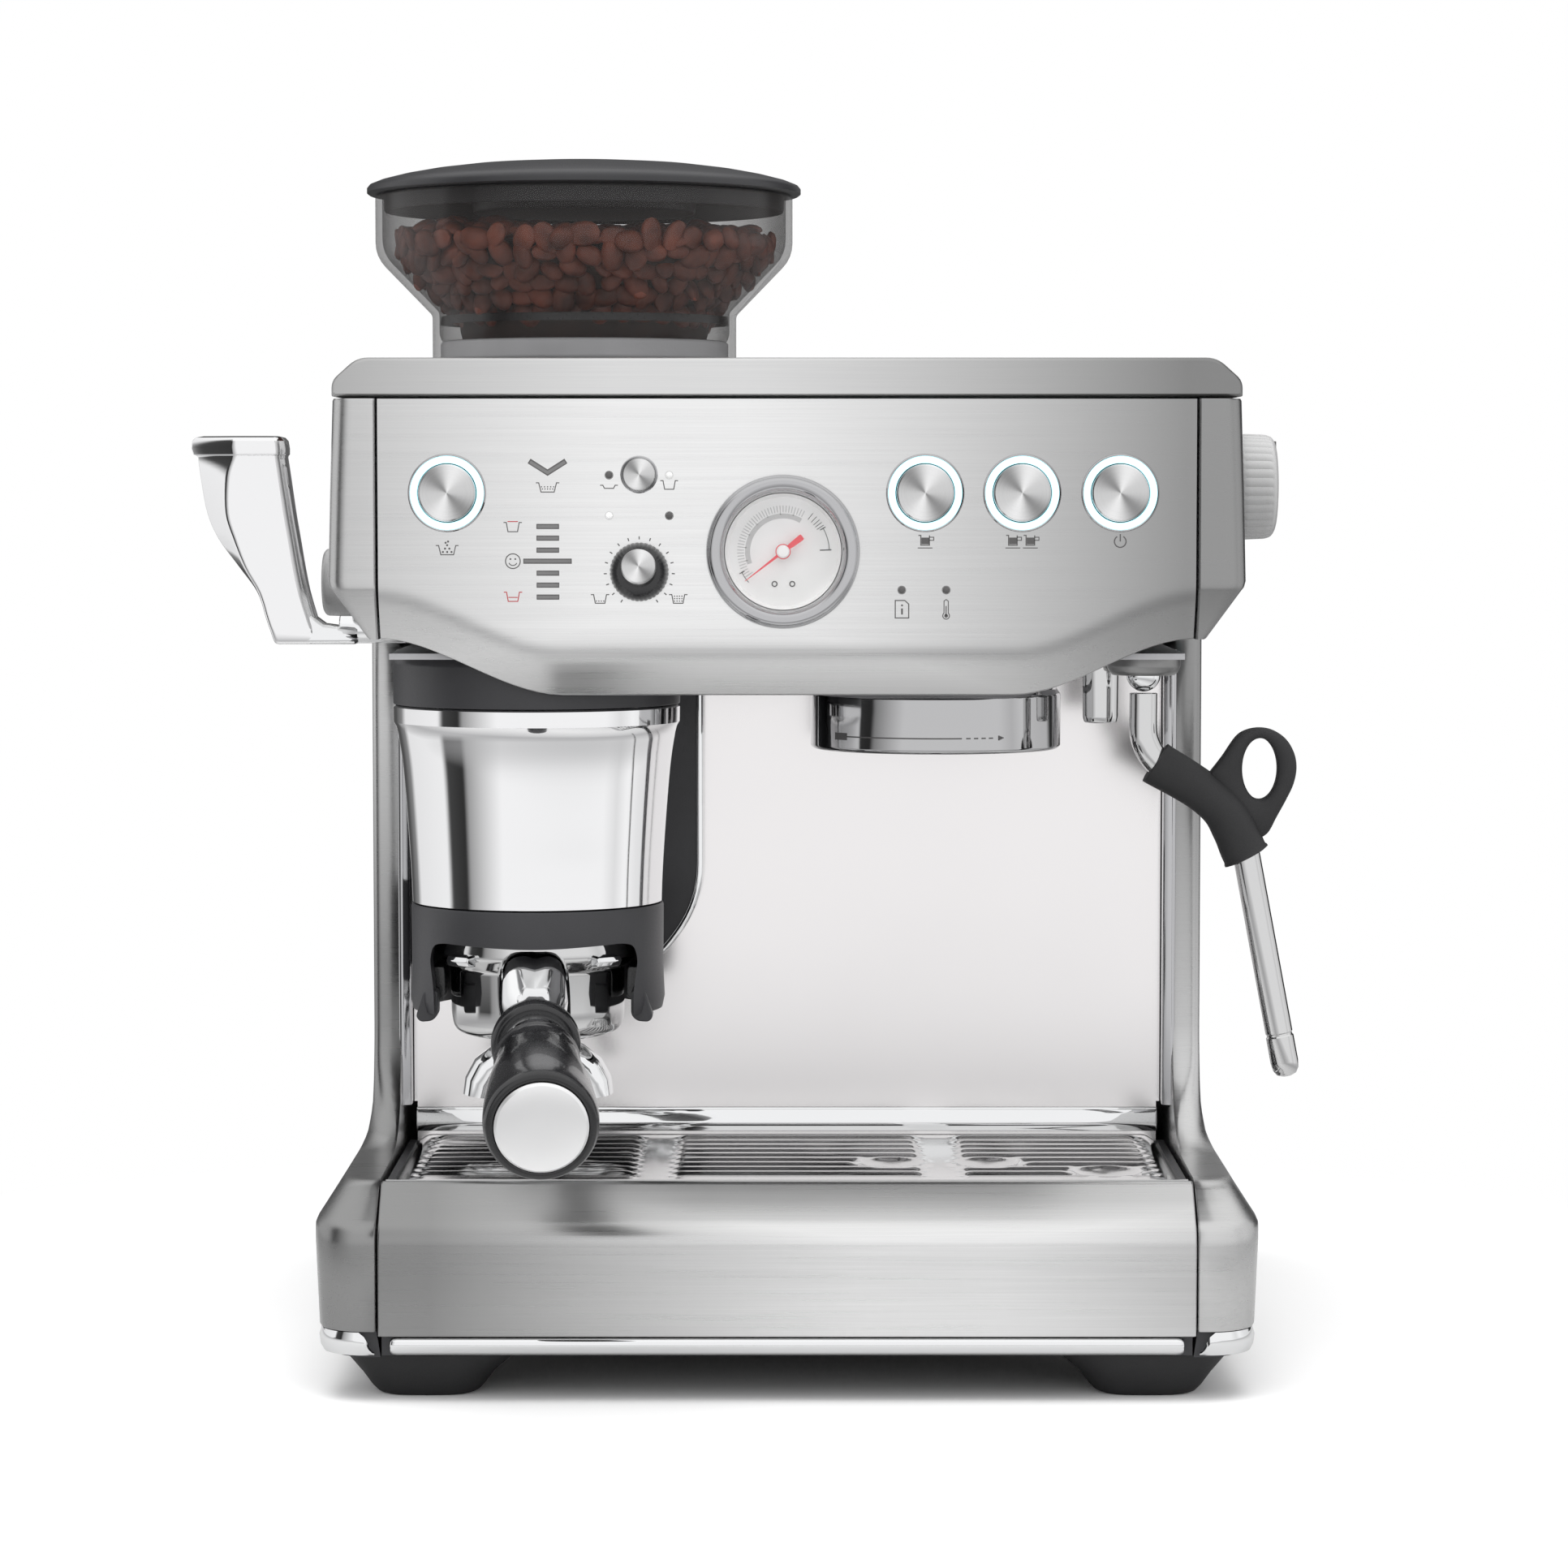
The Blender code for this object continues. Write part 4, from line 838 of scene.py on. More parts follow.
def top_cover():
    """The satin top: soft shoulders at both sides, a cup warmer's recess and the hopper's hole."""
    low, high = HEAD_TOP + 0.0006, 0.344
    corners = [
        (-0.1484, low), (0.1484, low), (0.1484, low + 0.0052), (0.14, high), (-0.14, high),
        (-0.1484, low + 0.0052)
    ]
    outline = rounded(corners, [0.0006, 0.0006, 0.003, 0.0036, 0.0036, 0.003], closed=True, steps=6)
    rows = []
    for y, inset in (
        (FRONT + 0.0004, 0.001), (FRONT + 0.001, 0.0004), (FRONT + 0.0024, 0.0), (0.0955, 0.0),
        (0.0963, 0.0006)
    ):
        middle = (low + high) / 2
        row = [(x * (1 - inset / 0.15), middle + (z - middle) * (1 - inset / 0.0065)) for x, z in outline]
        rows.append([at(x, y, z) for x, z in row])
    cover = add_piece("top_cover_shell", loft("cover", rows), SATIN, "case", ["top_cover"])
    holes = bmesh.new()
    box_into(holes, at(-0.1385, FRONT + 0.004, 0.33), at(0.1385, 0.093, 0.3385))
    box_into(holes, at(-0.1335, FRONT + 0.01, 0.342), at(0.1335, 0.0885, 0.35))
    cover_cut = hidden_tool("cover_hollows", finished(holes, "hollows"), "case")
    subtract(cover, cover_cut)
    hole = lathe("hopper_hole", [(0.0, 0.02), (0.048, 0.02), (0.048, -0.02), (0.0, -0.02)], at(*HOPPER, 0.34))
    subtract(cover, hidden_tool("hopper_hole", hole, "case"))
    soften(cover, 0.0007, 2, 50)

    # Ribs on the cup warmer's floor
    ribs = bmesh.new()
    for i in range(9):
        x = 0.012 + i * 0.014
        box_into(ribs, at(x - 0.0016, FRONT + 0.02, 0.3419), at(x + 0.0016, 0.078, 0.3431))
    soften(add_piece("cup_warmer_ribs", finished(ribs, "ribs"), SATIN, "case"), 0.0005, 2)


# The base


def base_cheek_row(z, half, front, corner, sign):
    inner, rear = BASE_SEAM + 0.0003, 0.155
    outline = [(inner, rear), (inner, front + 0.0006), (inner + 0.0006, front)]
    outline += arc((half - corner, front + corner), corner, -90, 0, 12)
    outline += [(half, rear - 0.001), (half - 0.001, rear)]
    return [at(sign * x, y, z) for x, y in outline]


def side_shell(side):
    """One pressing: the base cheek with its soft bends, and the column that sweeps out of it."""
    sign = -1 if side == "left" else 1
    path = [
        (FRONT + 0.0004, 0.0238), (FRONT, 0.0246), (FRONT, 0.0574), (FRONT + 0.018, 0.0716), (-0.09, 0.0722)
    ]
    path = rounded(path, [0, 0, 0.005, 0.005, 0], steps=6)
    path += [Vector(point) for point in arc((-0.09, 0.1122), 0.04, -90, 0, 14)[1:]]
    path += [Vector((-0.05, z)) for z in (0.14, 0.18, 0.22, 0.2502)] + [Vector((-0.0496, 0.2505))]
    widths = [
        (0.0238, 0.1552), (0.0246, 0.1556), (0.053, 0.1568), (0.058, 0.1569), (0.063, 0.1548),
        (0.068, 0.1508), (0.0716, 0.1487), (0.076, 0.147), (0.0845, 0.146), (0.095, 0.1458), (0.3, 0.1458)
    ]
    rows = []
    for front, z in path:
        half = widths[-1][1]
        for (low, start), (high, end) in zip(widths, widths[1:]):
            if low <= z <= high:
                half = between(start, end, (z - low) / (high - low))
                break
        corner = between(0.016, 0.011, ease((z - 0.055) / 0.014))
        corner = between(corner, 0.0035, ease((z - 0.072) / 0.03))
        rows.append(base_cheek_row(z, half, front, corner, sign))
    shell = loft(f"side_shell_{side}", rows)
    add_piece(f"side_shell_{side}", shell, STEEL, "case", [f"side_panel_{side}"], 50)

    # The dark plinth under it, and the bright trim beside the bay
    inner, half, low, high = BASE_SEAM + 0.0003, 0.152, 0.0149, 0.0237
    outline = [(inner, 0.153), (inner, FRONT + 0.003)]
    outline += arc((half - 0.013, FRONT + 0.016), 0.013, -90, 0, 10) + [(half, 0.153)]
    rows = [[at(sign * x * share, y, z) for x, y in outline] for z, share in ((low, 0.99), (high, 1.0))]
    add_piece(f"plinth_{side}", loft("plinth", rows), CHARCOAL, "case", (), 40)
    trim = [
        (sign * x, y) for x,
        y in ((0.1325, -0.0498), (0.1356, -0.051), (0.1372, -0.0498), (0.1356, -0.0405), (0.1325, -0.0405))
    ]
    add_piece(
        f"bay_trim_{side}", slab("trim", rounded(trim, 0.0007, True, 3), "xy", 0.0842, 0.245), BEZEL, "case",
    )


def corner_insert(side):
    """The chrome insert that follows the corner of the plinth; its end by the seam is cut on a curve."""
    sign = -1 if side == "left" else 1
    half = 0.1556
    path = [(x, FRONT + 0.0006, -90) for x in (0.1362, 0.137, 0.138, 0.139, 0.1396)]
    path += [
        (*point, angle) for point,
        angle in zip(arc((half - 0.016, FRONT + 0.0166), 0.016, -90, 0, 14), range(-90, 7, 7))
    ]
    path += [(half, -0.138, 0), (half, -0.13, 0), (half, -0.1285, 0)]
    rows = []
    for i, (x, y, angle) in enumerate(path):
        way = Vector((math.cos(math.radians(angle)), math.sin(math.radians(angle))))
        top = between(0.017, 0.0234, ease((x - 0.1362) / 0.005)) if i < 8 else 0.0234
        low = 0.0157
        bulge = [
            (-0.003, top), (-0.0006, top), (0.0002, between(top, low, 0.35)),
            (-0.0002, between(top, low, 0.75)), (-0.0012, low), (-0.003, low)
        ]
        rows.append([at(sign * (x + way.x * out), y + way.y * out, z) for out, z in bulge])
    add_piece(f"corner_insert_{side}", loft("insert", rows), CHROME, "case", (), 40)


def tray_front():
    """The drip tray's brushed front: a soft bend, a sloping lip and a chrome strip along its foot."""
    lip = FRONT + 0.0155
    corners = [
        (FRONT, 0.0222), (FRONT, 0.0574), (lip, 0.0712), (lip + 0.0022, 0.0716), (lip + 0.002, 0.0696),
        (FRONT + 0.0022, 0.0564), (FRONT + 0.0022, 0.0222),
    ]
    section = rounded(corners, [0.0005, 0.0048, 0.0022, 0.0006, 0.0005, 0.004, 0.0005], closed=True, steps=6)
    half = BASE_SEAM - 0.0003
    rows = []
    for x, inset in (
        (-half, 0.0007), (-half + 0.0003, 0.0002), (-half + 0.0009, 0.0), (half - 0.0009, 0.0),
        (half - 0.0003, 0.0002), (half, 0.0007)
    ):
        rows.append([at(x, y + inset, z - (inset if z > 0.05 else 0)) for y, z in section])
    add_piece(
        "tray_front_shell", loft("tray_front", rows), STEEL, "tray", ["drip_tray_front"], 50
    )
    bulge = [
        (FRONT + 0.003, 0.0217), (FRONT + 0.001, 0.0217), (FRONT + 0.0001, 0.0208), (FRONT - 0.0002, 0.0192),
        (FRONT + 0.0002, 0.0174), (FRONT + 0.0012, 0.016), (FRONT + 0.003, 0.0158)
    ]
    rows = []
    for x, share in (
        (-0.1314, 0.55), (-0.1309, 0.8), (-0.13, 0.95), (-0.1285, 1.0), (0.1285, 1.0), (0.13, 0.95),
        (0.1309, 0.8), (0.1314, 0.55)
    ):
        rows.append([at(x, between(FRONT + 0.003, y, share), between(0.0188, z, share)) for y, z in bulge])
    add_piece("tray_chrome_strip", loft("strip", rows), CHROME, "tray", (), 50)
    backing = [
        (-0.134, FRONT + 0.0032), (0.134, FRONT + 0.0032), (0.134, FRONT + 0.006), (-0.134, FRONT + 0.006)
    ]
    add_piece(
        "tray_strip_backing", slab("backing", backing, "xy", 0.0155, 0.03), CHARCOAL, "tray",
    )


def tray_rail():
    """The rounded bright rail at the back of the tray, just below the splash back."""
    corners = [
        (-0.0368, 0.073), (-0.0374, 0.0755), (-0.0366, 0.0812), (-0.033, 0.0837), (-0.029, 0.0837),
        (-0.029, 0.0818), (-0.0364, 0.0816), (-0.0364, 0.073)
    ]
    section = rounded(
        corners, [0.0002, 0.0012, 0.0034, 0.0016, 0.0004, 0.0004, 0.0004, 0.0002], closed=True, steps=5
    )
    rows = [
        [at(x, between(-0.033, y, share), z) for y, z in section] for x,
        share in ((-0.1318, 0.9), (-0.1312, 1.0), (0.1312, 1.0), (0.1318, 0.9))
    ]
    add_piece("tray_rail", loft("rail", rows), CHROME, "case", (), 50)


def foot_shoe(name, side, front):
    """A wide dark shoe that flares from a flat sole up to the plinth."""
    sign = 1 if side == "right" else -1
    turn = 1 if front else -1
    centre_y = -0.126 if front else 0.122
    levels = [(0.0, 0.104, 0.136, 0.02), (0.0006, 0.1025, 0.1378, 0.0212), (0.0022, 0.101, 0.1394, 0.0222),
              (0.007, 0.0975, 0.1428, 0.0244), (0.012, 0.0915, 0.147, 0.0268), (0.0148, 0.086, 0.149, 0.028)]
    rows = []
    for z, inner, outer, deep in levels:
        middle, wide = (inner + outer) / 2, (outer - inner) / 2
        row = []
        for i in range(48):
            a = 2 * math.pi * i / 48
            across = math.copysign(abs(math.cos(a)) ** 0.55, math.cos(a)) * wide
            along = math.copysign(abs(math.sin(a)) ** 0.6, math.sin(a)) * deep
            row.append(at(sign * (middle + across), centre_y + turn * along, z))
        rows.append(row)
    add_piece(f"{name}_shoe", loft("shoe", rows), RUBBER, "case", [name], 45)


def grate():
    """The stamped grate: nine rows of slots between rounded ribs, flat bridges and three cup dimples."""
    front, rear, half = -0.1418, -0.037, 0.1336
    rows, panels = 9, [(-0.1255, -0.0495), (-0.0395, 0.0475), (0.0575, 0.1255)]
    dimples = [(0.0359, -0.104, 0.0116), (0.0683, -0.104, 0.0116), (0.108, -0.1245, 0.012)]
    pitch = (rear - front - 0.01) / rows
    first = front + 0.005 + pitch / 2
    across = [-half + i * 2 * half / 214 for i in range(215)]
    along = [front, front + 0.0015, front + 0.003]
    for k in range(rows):
        middle = first + k * pitch
        along += [
            middle + pitch * share for share in (
                -0.46, -0.4, -0.34, -0.28, -0.235, -0.2, -0.17, 0.17, 0.2, 0.235, 0.28, 0.34, 0.4, 0.46
            )
        ]
    along = sorted(set(along + [rear - 0.003, rear - 0.0015, rear]))

    def in_panel(x):
        return max(min(ease((x - low) / 0.0045), ease((high - x) / 0.0045)) for low, high in panels)

    def dimple_share(x, y):
        return min(math.hypot(x - cx, y - cy) / reach for cx, cy, reach in dimples)

    def height(x, y):
        share = (y - first) / pitch + 0.5
        wave = 0.5 + 0.5 * math.cos(2 * math.pi * share)
        ring = dimple_share(x, y)
        rib = in_panel(x) * ease((ring - 1.0) / 0.28) * (1 if 0 <= share <= rows else 0)
        bowl = -0.0026 * (1 - min(ring, 1.0) ** 2) ** 1.3 + 0.0005 * math.exp(-(((ring - 1.02) / 0.1) ** 2))
        edge = ease((abs(x) - 0.1265) / 0.0072)
        return 0.0716 + rib * (wave * 0.0019 - 0.0011) + bowl - 0.0032 * edge

    shape = bmesh.new()
    points = [[shape.verts.new(at(x, y, height(x, y))) for x in across] for y in along]
    for j, (low_row, high_row) in enumerate(zip(points, points[1:])):
        middle_y = (along[j] + along[j + 1]) / 2
        slot = abs(
            ((middle_y - first) / pitch + 0.5) % 1.0 - 0.5
        ) < 0.1 and first - pitch * 0.3 < middle_y < first + (rows - 0.7) * pitch
        for i in range(len(across) - 1):
            middle_x = (across[i] + across[i + 1]) / 2
            if slot and in_panel(middle_x) > 0.95 and dimple_share(middle_x, middle_y) > 1.22:
                continue
            shape.faces.new((low_row[i], low_row[i + 1], high_row[i + 1], high_row[i]))
    loose = [vert for vert in shape.verts if not vert.link_faces]
    bmesh.ops.delete(shape, geom=loose, context="VERTS")
    plate = add_piece(
        "grate_plate", finished(shape, "grate_plate"), GRATE_STEEL, "grate", ["drip_tray_grate"], 60
    )
    thickness = plate.modifiers.new("sheet", "SOLIDIFY")
    thickness.thickness = 0.0008
    thickness.offset = -1.0
    flange = [
        (-0.1336, front + 0.0002), (0.1336, front + 0.0002), (0.1336, front - 0.0006),
        (-0.1336, front - 0.0006)
    ]
    add_piece(
        "grate_front_flange", slab("flange", flange, "xy", 0.069, 0.0718), GRATE_STEEL, "grate"
    )


# Hopper and beans


def hopper_shell():
    """The smoky hopper: a straight wall, a cone and a neck, with its inner funnel and ring."""
    place = at(*HOPPER, 0.0)
    outer = [
        (0.073, 0.404), (0.0735, 0.4034), (0.0735, 0.3828), (0.0536, 0.3623), (0.0536, 0.343),
        (0.047, 0.3424), (0.047, 0.3345), (0.018, 0.3345), (0.018, 0.3375), (0.044, 0.345), (0.0512, 0.3545),
        (0.0512, 0.3634), (0.0711, 0.384), (0.0711, 0.404),
    ]
    corners = [
        0.0003, 0.0004, 0.005, 0.0012, 0.0005, 0.0005, 0.0004, 0.0003, 0.0003, 0.001, 0.002, 0.0012, 0.005,
        0.0003
    ]
    mesh = lathe(
        "hopper_shell", [tuple(p) for p in rounded(outer, corners, True, 4)], place, steps=144, ring=True
    )
    add_piece("hopper_shell", mesh, SMOKE, "bean_hopper", ["hopper"], 40)
    seam = [(0.0505, 0.3618), (0.0509, 0.359), (0.0488, 0.359), (0.0484, 0.3618)]
    add_piece(
        "hopper_seat_ring", lathe("seat", seam, place, ring=True), BLACK, "bean_hopper", (),
        40
    )
    collar = [
        (0.0496, 0.3458), (0.0508, 0.347), (0.0508, 0.3524), (0.0494, 0.3534), (0.0462, 0.35), (0.047, 0.3478)
    ]
    mesh = lathe("collar", collar, place, ring=True, round_by=0.0006)
    add_piece("hopper_lock_ring", mesh, CAST, "bean_hopper", (), 40)


def hopper_cap():
    """The domed lid with its lip, its inner skirt and the shade that hangs from its middle."""
    place = at(*HOPPER, 0.0)
    dome = [
        (0.0, 0.416), (0.015, 0.41585), (0.03, 0.4153), (0.044, 0.4142), (0.056, 0.4126), (0.065, 0.4109),
        (0.072, 0.4091), (0.0755, 0.4077), (0.0764, 0.4066), (0.0764, 0.405), (0.0756, 0.4044),
        (0.0704, 0.4043), (0.0704, 0.3995), (0.0701, 0.3985), (0.0687, 0.3985), (0.0684, 0.3995),
        (0.0684, 0.405), (0.0, 0.405),
    ]
    mesh = lathe("hopper_cap", dome, place, steps=144)
    add_piece("hopper_cap", mesh, LID_PLASTIC, "bean_lid", ["hopper_lid"], 40)
    hub = [(0.0, 0.4048), (0.0395, 0.4048), (0.0398, 0.403), (0.0392, 0.3982), (0.038, 0.3978), (0.0, 0.3978)]
    mesh = lathe("hub", hub, place, round_by=0.0006)
    add_piece("hopper_cap_hub", mesh, LID_PLASTIC, "bean_lid", (), 40)


def bean_into(shape, place, turn, size):
    """One roasted bean: a rounded back, and a flat face with a furrow along it."""
    around, along = 10, 7
    rings = []
    for i in range(1, along):
        a = math.pi * i / along
        ring = []
        for j in range(around):
            b = 2 * math.pi * j / around
            x = -math.cos(a) * 0.0054
            y = math.sin(a) ** 0.8 * math.cos(b) * 0.004
            z = math.sin(a) ** 0.8 * math.sin(b)
            z = z * 0.0031 if z > 0 else z * 0.0016
            if z < 0.0:
                z += 0.001 * math.exp(-((y / 0.001) ** 2))
            ring.append(shape.verts.new(place + turn @ (Vector((x, y, z)) * size)))
        rings.append(ring)
    tips = [shape.verts.new(place + turn @ (Vector((x, 0, 0)) * size)) for x in (-0.0054, 0.0054)]
    for j in range(around):
        k = (j + 1) % around
        shape.faces.new((tips[0], rings[0][k], rings[0][j]))
        shape.faces.new((tips[1], rings[-1][j], rings[-1][k]))
        for low, high in zip(rings, rings[1:]):
            shape.faces.new((low[j], low[k], high[k], high[j]))


def bean_heap():
    """Beans against the hopper's wall and in an uneven heap, over a dark core that is painted shade deep in the
    heap.
    """
    chance = random.Random(7)
    place = at(*HOPPER, 0.0)
    shape = bmesh.new()

    def wall_radius(z):
        return between(0.0506, 0.07, (z - 0.364) / 0.0205) if z < 0.3845 else 0.0703

    def scatter(radius, angle, z, flat):
        spot = place + Vector((radius * math.cos(angle), radius * math.sin(angle), z))
        turn = Matrix.Rotation(angle, 3, "Z") @ Matrix.Rotation(math.radians(90 if not flat else 0), 3, "Y")
        spin = Matrix.Rotation(
            chance.uniform(0, 2 * math.pi), 3, "Z"
        ) @ Matrix.Rotation(math.pi * chance.randint(0, 1), 3, "X")
        lean = Matrix.Rotation(
            chance.uniform(-0.45, 0.45), 3, "X"
        ) @ Matrix.Rotation(chance.uniform(-0.45, 0.45), 3, "Y")
        bean_into(shape, spot, turn @ lean @ spin, chance.uniform(0.86, 1.12))

    for layer in range(6):
        z = 0.3625 + layer * 0.0048
        radius = wall_radius(z) - 0.0052
        count = int(2 * math.pi * radius / 0.0078)
        for i in range(count):
            angle = 2 * math.pi * (i + 0.5 * (layer % 2) + chance.uniform(-0.2, 0.2)) / count
            scatter(radius + chance.uniform(-0.0008, 0.0), angle, z + chance.uniform(-0.0012, 0.0012), False)
    for ring in range(8):
        radius = 0.0015 + ring * 0.0083
        count = max(1, int(2 * math.pi * radius / 0.0086))
        for i in range(count):
            angle = 2 * math.pi * (i + chance.uniform(-0.3, 0.3)) / count
            spread = min(radius + chance.uniform(-0.002, 0.002), 0.063)
            lift = 0.0034 * math.sin(2 * angle + 0.8) * spread / 0.064
            z = between(0.3915, 0.388, (spread / 0.064) ** 2) + lift + chance.uniform(-0.001, 0.0014)
            scatter(max(spread, 0.0), angle, z, True)
    mesh = finished(shape, "bean_heap")
    add_piece("bean_heap", mesh, BEAN, "bean_hopper", ["coffee_beans"], 60)
    # A near-black solid under the beans: painted shade where the heap is deep
    core = [
        (0.0, 0.388), (0.035, 0.3876), (0.056, 0.385), (0.06, 0.38), (0.044, 0.364), (0.044, 0.356),
        (0.04, 0.347), (0.0165, 0.3384), (0.0, 0.3384),
    ]
    mesh = lathe("bean_painted_shade_core", core, place, steps=72, round_by=0.003)
    add_piece("bean_painted_shade_core", mesh, BEAN_PAINTED_SHADE, "bean_hopper")


# Tamping and the portafilter


def tamp_shells():
    """The dark collar and the mirror housing that flares out under it to a rolled rim."""
    place = at(*TAMPER, 0.0)
    collar = [(0.0472, 0.2449), (0.0487, 0.2425), (0.0487, 0.2287), (0.0415, 0.2287), (0.0415, 0.2449)]
    mesh = lathe("tamp_collar_shell", collar, place, steps=128, ring=True, round_by=0.0004)
    add_piece("tamp_collar_shell", mesh, CHARCOAL, "case", ["tamp_collar"], 40)
    flare = [(0.048, 0.2284), (0.0487, 0.2278), (0.0486, 0.2226), (0.0478, 0.2212)]
    flare += smooth_line(
        [
            (0.0472, 0.219, 0), (0.0458, 0.21, 0), (0.0446, 0.197, 0), (0.0434, 0.18, 0), (0.0428, 0.169, 0),
            (0.0425, 0.1616, 0)
        ],
        5
    )
    profile = [(p[0], p[1]) for p in flare] + [
        (0.042, 0.1613), (0.0398, 0.1613), (0.042, 0.186), (0.0452, 0.2284)
    ]
    mesh = lathe("tamp_housing_shell", profile, place, steps=160, ring=True)
    add_piece("tamp_housing_shell", mesh, TURNED_CHROME, "case", ["tamp_housing"], 28)


def cradle():
    """The dark cradle: a band under the housing, an arch for the bowl, and two forked prongs."""
    x, y = TAMPER
    place = at(x, y, 0.0)
    ring = [
        (0.0426, 0.161), (0.043, 0.16), (0.0428, 0.14), (0.0433, 0.129), (0.0425, 0.1252), (0.0368, 0.125),
        (0.0366, 0.161)
    ]
    mesh = lathe("cradle_band", ring, place, steps=128, ring=True)
    band = add_piece("cradle_band", mesh, CHARCOAL, "case", ["portafilter_cradle"], 40)
    arch = [(-0.0335, 0.1), (0.0335, 0.1), (0.0335, 0.133), (0.035, 0.144), (0.0335, 0.1488)]
    arch += [
        (0.03, 0.1497), (0.0, 0.1484), (-0.03, 0.1497), (-0.0335, 0.1488), (-0.035, 0.144), (-0.0335, 0.133)
    ]
    outline = rounded(
        [(x + across, z) for across, z in arch],
        [0, 0, 0.004, 0.003, 0.003, 0.002, 0.01, 0.002, 0.003, 0.003, 0.004], True, 4
    )
    tool = slab("cradle_mouth", outline, "xz", y - 0.06, y + 0.012)
    subtract(band, hidden_tool("cradle_mouth", tool, "case"))
    soften(band, 0.0009, 3, 45)
    for name, sign in (("left", -1), ("right", 1)):
        prong = [
            (sign * across, z) for across,
            z in (
                (0.0372, 0.133), (0.04, 0.124), (0.0385, 0.1222), (0.0345, 0.1225), (0.0325, 0.1245),
                (0.0325, 0.133)
            )
        ]
        outline = rounded([(x + across, z) for across, z in prong], 0.0016, True, 3)
        foot = slab("prong", outline, "xz", y - 0.0225, y - 0.013)
        soften(add_piece(f"cradle_prong_{name}", foot, CHARCOAL, "case"), 0.0008, 3, 40)
        fork = [
            (sign * across, z) for across,
            z in ((0.0352, 0.14), (0.031, 0.14), (0.0305, 0.13), (0.032, 0.1285), (0.0352, 0.129))
        ]
        outline = rounded([(x + across, z) for across, z in fork], 0.0012, True, 3)
        guide = slab("fork", outline, "xz", y - 0.012, y + 0.008)
        soften(add_piece(f"cradle_fork_{name}", guide, BLACK, "case"), 0.0006, 2, 40)


def back_plate():
    """The dark plate behind the housing, with a bright rim that curves in at its foot."""
    outline = rounded(
        [(-0.132, 0.2446), (-0.0306, 0.2446), (-0.0306, 0.156), (-0.048, 0.133), (-0.132, 0.133)],
        [0, 0, 0.018, 0.012, 0], True, 8
    )
    plate = slab("tamp_back_plate", [tuple(p) for p in outline], "xz", -0.05, -0.0402)
    soften(add_piece("tamp_back_plate", plate, CHARCOAL, "case"), 0.0008, 2, 50)
    line = [Vector((p[0], -0.0498, p[1])) for p in outline[1:-1]]
    rim = [at(*point) for point in line if point.z < 0.2447 and point.x > -0.125]
    add_piece("back_plate_rim", sweep("rim", rim, 0.0013, 12), CHROME, "case")


def portafilter_bowl():
    """The chrome bowl with its lugs, and the casting that carries the handle."""
    x, y = TAMPER
    place = at(x, y, 0.0)
    bowl = [
        (0.0334, 0.15), (0.0344, 0.1492), (0.0344, 0.1436), (0.0312, 0.1404), (0.0297, 0.139),
        (0.0295, 0.123), (0.0284, 0.1176), (0.023, 0.1156), (0.0095, 0.1152), (0.0, 0.1152), (0.0, 0.117),
        (0.0225, 0.1172), (0.028, 0.12), (0.0289, 0.124), (0.029, 0.15),
    ]
    corners = [
        0.0004, 0.0006, 0.0012, 0.001, 0.0015, 0.003, 0.004, 0.003, 0.001, 0, 0, 0.002, 0.002, 0.001, 0.0003
    ]
    profile = [tuple(p) for p in rounded(bowl, corners, False, 4)]
    mesh = lathe("bowl", profile[:-1] + [profile[-1]], place, steps=128, ring=True)
    add_piece("portafilter_bowl", mesh, TUBE_CHROME, "portafilter", ["portafilter_body"], 35)
    for i, angle in enumerate((-133, -47, 90)):
        a = math.radians(angle)
        turn = Matrix.Rotation(a, 3, "Z")
        shape = bmesh.new()
        rows = []
        for across, thick in ((-0.0052, 0.0016), (-0.0046, 0.0022), (0.0046, 0.0022), (0.0052, 0.0016)):
            section = [
                (0.0338, -thick), (0.0372, -thick * 0.8), (0.0378, 0.0), (0.0372, thick * 0.8),
                (0.0338, thick)
            ]
            rows.append([place + turn @ Vector((r, across, 0.1432 + z)) for r, z in section])
        skin(shape, rows)
        lug = add_piece(
            f"portafilter_lug_{i}", finished(shape, "lug"), CHROME, "portafilter", (), 30
        )
        soften(lug, 0.0005, 2)

    def collar_row(place_y, shift, middle, wide, top, bottom, square):
        row = []
        for k in range(40):
            a = 2 * math.pi * k / 40
            across = math.copysign(abs(math.cos(a)) ** square, math.cos(a)) * wide
            tall = math.copysign(
                abs(math.sin(a)) ** square, math.sin(a)
            ) * (top if math.sin(a) > 0 else bottom)
            groove = 0.0011 * math.exp(
                -((across / 0.0022) ** 2)
            ) if tall > 0.3 * top and place_y < y - 0.036 else 0.0
            row.append(at(x + shift + across, place_y, middle + tall - groove))
        return row

    rows = [
        collar_row(y - 0.0285, 0.0, 0.1335, 0.0122, 0.0138, 0.011, 0.62),
        collar_row(y - 0.034, 0.0004, 0.1332, 0.0121, 0.0142, 0.011, 0.58),
        collar_row(y - 0.04, 0.001, 0.1318, 0.012, 0.0142, 0.0108, 0.6),
        collar_row(y - 0.045, 0.0014, 0.1295, 0.0119, 0.013, 0.0108, 0.68),
        collar_row(y - 0.05, 0.0018, 0.1258, 0.0118, 0.0118, 0.0108, 0.8),
        collar_row(y - 0.0545, 0.0021, 0.1232, 0.0114, 0.0114, 0.011, 0.95),
        collar_row(y - 0.06, 0.0023, 0.1215, 0.0108, 0.0108, 0.0108, 1.0),
    ]
    add_piece("portafilter_neck", loft("neck", rows), CHROME, "portafilter", (), 40)


